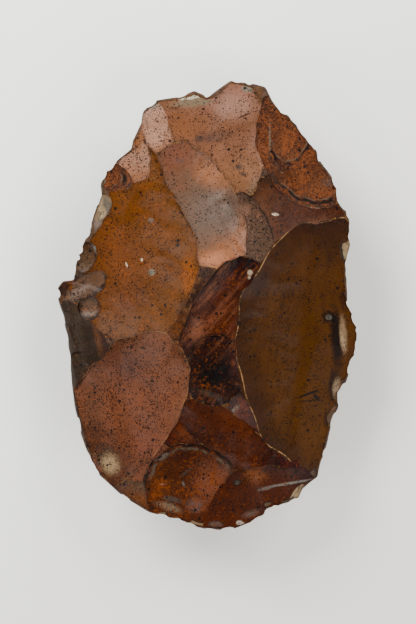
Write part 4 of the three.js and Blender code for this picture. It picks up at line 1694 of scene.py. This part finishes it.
    def shade(self, board: NodeBoard, finish: Finish, colour: Socket, grain: Socket, specks: Socket) -> None:
        """Adds the material's own shader and output.

        Args:
            board: The material's board.
            finish: The finish.
            colour: The finished colour.
            grain: Height of the grain.
            specks: Mask of the specks.
        """
        height = board.plus(board.times(grain, self.grain_height), board.times(specks, self.speck_height))
        bump = board.add("ShaderNodeBump", Strength=self.bump_strength, Distance=self.bump_distance,
                         Height=height)
        uneven = board.times(board.minus(grain, self.grain_mean), self.grain_roughness)
        shader = board.add("ShaderNodeBsdfPrincipled", Base_Color=colour,
                           Roughness=board.plus(finish.roughness, uneven), Normal=bump.outputs["Normal"],
                           IOR=self.refraction, Specular_IOR_Level=finish.gloss)
        sheet = board.add("ShaderNodeOutputMaterial")
        board.feed(sheet.inputs["Surface"], shader.outputs["BSDF"])

    def make_all(self) -> dict[Patina, bpy.types.Material]:
        """Makes every finish."""
        return {patina: self.make(patina, finish) for patina, finish in FINISHES.items()}


class SurfaceSurvey:
    """Measures the struck mesh: whose scar each face is, and how far the ridges are."""

    ridge_angle = math.radians(15)
    far = 6.0
    line_marks = (0.0, 0.33, 0.67, 1.0)
    unstruck_border = 6.0

    def __init__(self, stone: bpy.types.Object, faces: list[StruckFace]) -> None:
        """Reads the mesh, which holds triangles only.

        Args:
            stone: The struck stone.
            faces: Its two faces with their scars.
        """
        self.mesh = stone.data
        self.faces = faces
        self.points = mesh_points(stone) / MM
        count = len(self.mesh.polygons)
        corners = np.empty(3 * count, int)
        self.mesh.loops.foreach_get("vertex_index", corners)
        self.corners = corners.reshape(-1, 3)
        edges = np.empty(3 * count, int)
        self.mesh.loops.foreach_get("edge_index", edges)
        self.loop_edges = edges
        normals = np.empty(3 * count)
        self.mesh.polygons.foreach_get("normal", normals)
        self.normals = normals.reshape(-1, 3)
        self.centres = self.points[self.corners].mean(axis=1)

    def owners(self) -> tuple[np.ndarray, np.ndarray]:
        """Which face of the stone and which scar each triangle belongs to.

        Returns:
            Whether a triangle lies on the worked face, and the scar's number or -1.
        """
        x, y, z = self.centres.T
        worked = z > SIZES.edge_height + PLAN.wave(x, y)
        owner = np.where(worked, self.faces[0].owner(x, y), self.faces[1].owner(x, y))
        return worked, owner

    def line_distances(self) -> tuple[np.ndarray, np.ndarray]:
        """How far each vertex lies from the nearest ridge and from the nearest crease.

        Returns:
            Both distances in millimetres.
        """
        order = np.argsort(self.loop_edges, kind="stable")
        edge = self.loop_edges[order]
        starts = np.flatnonzero(np.diff(edge, prepend=-1))
        paired = np.diff(np.append(starts, len(edge))) == 2
        first, second = order[starts[paired]] // 3, order[starts[paired] + 1] // 3
        bend = np.arccos(np.clip((self.normals[first] * self.normals[second]).sum(axis=1), -1, 1))
        step = self.centres[second] - self.centres[first]
        convex = (step * self.normals[first]).sum(axis=1) < 0
        ends = np.empty(2 * len(self.mesh.edges), int)
        self.mesh.edges.foreach_get("vertices", ends)
        ends = ends.reshape(-1, 2)[edge[starts[paired]]]
        sharp = bend > self.ridge_angle
        return self.distance_to(ends[sharp & convex]), self.distance_to(ends[sharp & ~convex])

    def distance_to(self, lines: np.ndarray) -> np.ndarray:
        """Distance from each vertex to the nearest of the given edges.

        Args:
            lines: The edges' end vertices.

        Returns:
            The distances in millimetres, cut off far away.
        """
        start, end = self.points[lines[:, 0]], self.points[lines[:, 1]]
        marks = np.concatenate([start + (end - start) * share for share in self.line_marks])
        tree = kdtree.KDTree(len(marks))
        for number, mark in enumerate(marks):
            tree.insert(mark, number)
        tree.balance()
        return np.array([min(tree.find(point)[2], self.far) for point in self.points])

    def write(self, name: str, domain: str, values: np.ndarray) -> None:
        """Writes one value per vertex or per corner onto the mesh.

        Args:
            name: Name of the attribute.
            domain: Whether the values belong to points or to corners.
            values: The values.
        """
        layer = self.mesh.attributes.new(name, "FLOAT", domain)
        layer.data.foreach_set("value", values.astype(np.float32).ravel())

    def record(self) -> np.ndarray:
        """Writes all the measured values.

        Returns:
            For each triangle, the number of its patina in the order of the Enum.
        """
        finish = self.record_scars()
        ridge, crease = self.line_distances()
        self.write("ridge", "POINT", ridge)
        self.write("crease", "POINT", crease)
        self.write("inward", "POINT", PLAN.place(self.points[:, 0], self.points[:, 1])["inward"])
        return finish

    def record_scars(self) -> np.ndarray:
        """Writes where each corner lies in its scar.

        Returns:
            For each triangle, the number of its patina in the order of the Enum.
        """
        worked, owner = self.owners()
        patinas = list(Patina)
        along = np.zeros(self.corners.shape)
        share = np.zeros(self.corners.shape)
        rim = np.full(self.corners.shape, self.far)
        inner = PLAN.place(self.centres[:, 0], self.centres[:, 1])["inward"]
        middle, border = patinas.index(Patina.MAUVE), patinas.index(Patina.GREY_BROWN)
        finish = np.where(inner > self.unstruck_border, middle, border)
        for side, struck in zip((True, False), self.faces):
            for number, scar in enumerate(struck.scars):
                mine = (worked == side) & (owner == number)
                spot = self.points[self.corners[mine]]
                u, _, out, _ = scar.local(spot[..., 0], spot[..., 1])
                along[mine] = u / np.where(u > 0, scar.flake.ahead, scar.flake.back)
                share[mine] = out
                rim[mine] = (1 - out) * scar.size
                finish[mine] = patinas.index(scar.flake.patina)
        self.write("along", "CORNER", along)
        self.write("share", "CORNER", share)
        self.write("rim", "CORNER", rim)
        return finish


@dataclass
class HandAxe:
    """The flint hand axe: its fine relief, and the finish of each scar."""

    name: str = "flint_hand_axe"
    face_cell: float = 0.5
    belly_cell: float = 1.0
    smooth_angle: float = 24.0
    quick_coarse: float = 2.5

    def build(self) -> bpy.types.Object:
        """Strikes the stone and dresses it.

        Returns:
            The finished piece.
        """
        coarse = 1.0
        knapper = Knapper(self.face_cell * coarse, self.belly_cell * coarse)
        stone = StoneBlank().build(self.name)
        knapper.strike(stone)
        select_only(stone)
        bpy.ops.object.shade_smooth_by_angle(angle=math.radians(self.smooth_angle))
        self.dress(stone, SurfaceSurvey(stone, knapper.faces).record())
        return stone

    def dress(self, stone: bpy.types.Object, finish: np.ndarray) -> None:
        """Gives each triangle the finish of its scar.

        Args:
            stone: The struck stone.
            finish: For each triangle, the number of its patina.
        """
        materials = PatinaShop().make_all()
        stone.data.materials.clear()
        for patina in Patina:
            stone.data.materials.append(materials[patina])
        stone.data.polygons.foreach_set("material_index", finish.astype(np.int32))
        stone.data.update()


@dataclass(frozen=True)
class Lamp:
    """A soft square light that faces the stone, in metres and watts."""

    name: str
    place: tuple[float, float, float]
    size: float
    power: float


@dataclass
class Studio:
    """A pale floor with painted shade towards the lower right, soft light from the upper left, and a camera
    straight above.
    """

    floor_size: float = 6.0
    floor_light: Rgba = srgb(240, 241, 237)
    floor_painted_shade: Rgba = srgb(214, 211, 202)
    floor_shade_fade: float = 0.32
    floor_roughness: float = 0.9
    lens: float = 100.0
    sensor: float = 36.0
    photo_height: float = 0.1872
    aim: tuple[float, float] = (0.00015, -0.00225)
    air: float = 0.12
    air_colour: Rgba = (0.95, 0.97, 1, 1)
    lights: tuple[Lamp, ...] = (
        Lamp("window", (-0.5, 0.56, 0.4), 0.5, 19.0),
        Lamp("side_board", (-0.6, -0.4, 0.36), 0.5, 8.0),
        Lamp("top_board", (0.5, 0.5, 0.36), 0.5, 10.0),
        Lamp("far_board", (0.55, -0.5, 0.36), 0.6, 11.0),
    )

    def lay_floor(self) -> bpy.types.Object:
        """Lays the floor under the stone, its colour darkening from the upper left to the lower right as
        painted shade of the light's falloff.

        Returns:
            The floor.
        """
        bpy.ops.object.select_all(action="DESELECT")
        bpy.ops.mesh.primitive_plane_add(size=self.floor_size, location=(0, 0, 0))
        floor = bpy.context.active_object
        floor.name = "floor"
        paint = bpy.data.materials.new("pale_floor_painted_shade")
        paint.use_nodes = True
        board = NodeBoard(paint.node_tree)
        place = board.add("ShaderNodeTexCoord").outputs["Object"]
        apart = board.add("ShaderNodeSeparateXYZ", Vector=place)
        # painted shade: the floor darkens towards the lower right, away from the window light
        shade_slant = board.minus(apart.outputs["X"], apart.outputs["Y"])
        share = board.ramp(shade_slant, Ramp(-self.floor_shade_fade / 2, self.floor_shade_fade / 2))
        colour = board.mix(share, self.floor_light, self.floor_painted_shade)
        shader = board.add("ShaderNodeBsdfPrincipled", Base_Color=colour, Roughness=self.floor_roughness)
        sheet = board.add("ShaderNodeOutputMaterial")
        board.feed(sheet.inputs["Surface"], shader.outputs["BSDF"])
        floor.data.materials.append(paint)
        return floor

    def hang(self, lamp: Lamp) -> bpy.types.Object:
        """Hangs one light.

        Args:
            lamp: Where it hangs and how strong it is.

        Returns:
            The light.
        """
        bpy.ops.object.light_add(type="AREA", location=lamp.place)
        light = bpy.context.active_object
        light.name = lamp.name
        light.data.size = lamp.size
        light.data.energy = lamp.power
        light.rotation_euler = (-Vector(lamp.place)).to_track_quat("-Z", "Y").to_euler()
        return light

    def set_camera(self) -> bpy.types.Object:
        """Sets the camera straight over the photo's middle.

        Returns:
            The camera.
        """
        edge = SIZES.edge_height * MM
        distance = self.photo_height * self.lens / self.sensor
        bpy.ops.object.camera_add(location=(*self.aim, edge + distance), rotation=(0, 0, 0))
        camera = bpy.context.active_object
        camera.name = "camera"
        camera.data.lens = self.lens
        camera.data.sensor_width = self.sensor
        bpy.context.scene.camera = camera
        return camera

    def build(self) -> None:
        """Sets the whole studio."""
        self.lay_floor()
        for lamp in self.lights:
            self.hang(lamp)
        world = bpy.data.worlds.new("studio_air")
        world.use_nodes = True
        sky = world.node_tree.nodes["Background"].inputs
        sky["Color"].default_value = self.air_colour
        sky["Strength"].default_value = self.air
        bpy.context.scene.world = world
        self.set_camera()


def main() -> None:
    """Builds the studio and the hand axe, and reports the piece."""
    logging.basicConfig(level=logging.INFO, format="%(name)s: %(message)s")
    Studio().build()
    stone = HandAxe().build()
    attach(stone, "root")
    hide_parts("hand_axe")
    LOG.info("%s has %d faces", stone.name, len(stone.data.polygons))


if __name__ == "__main__":
    main()
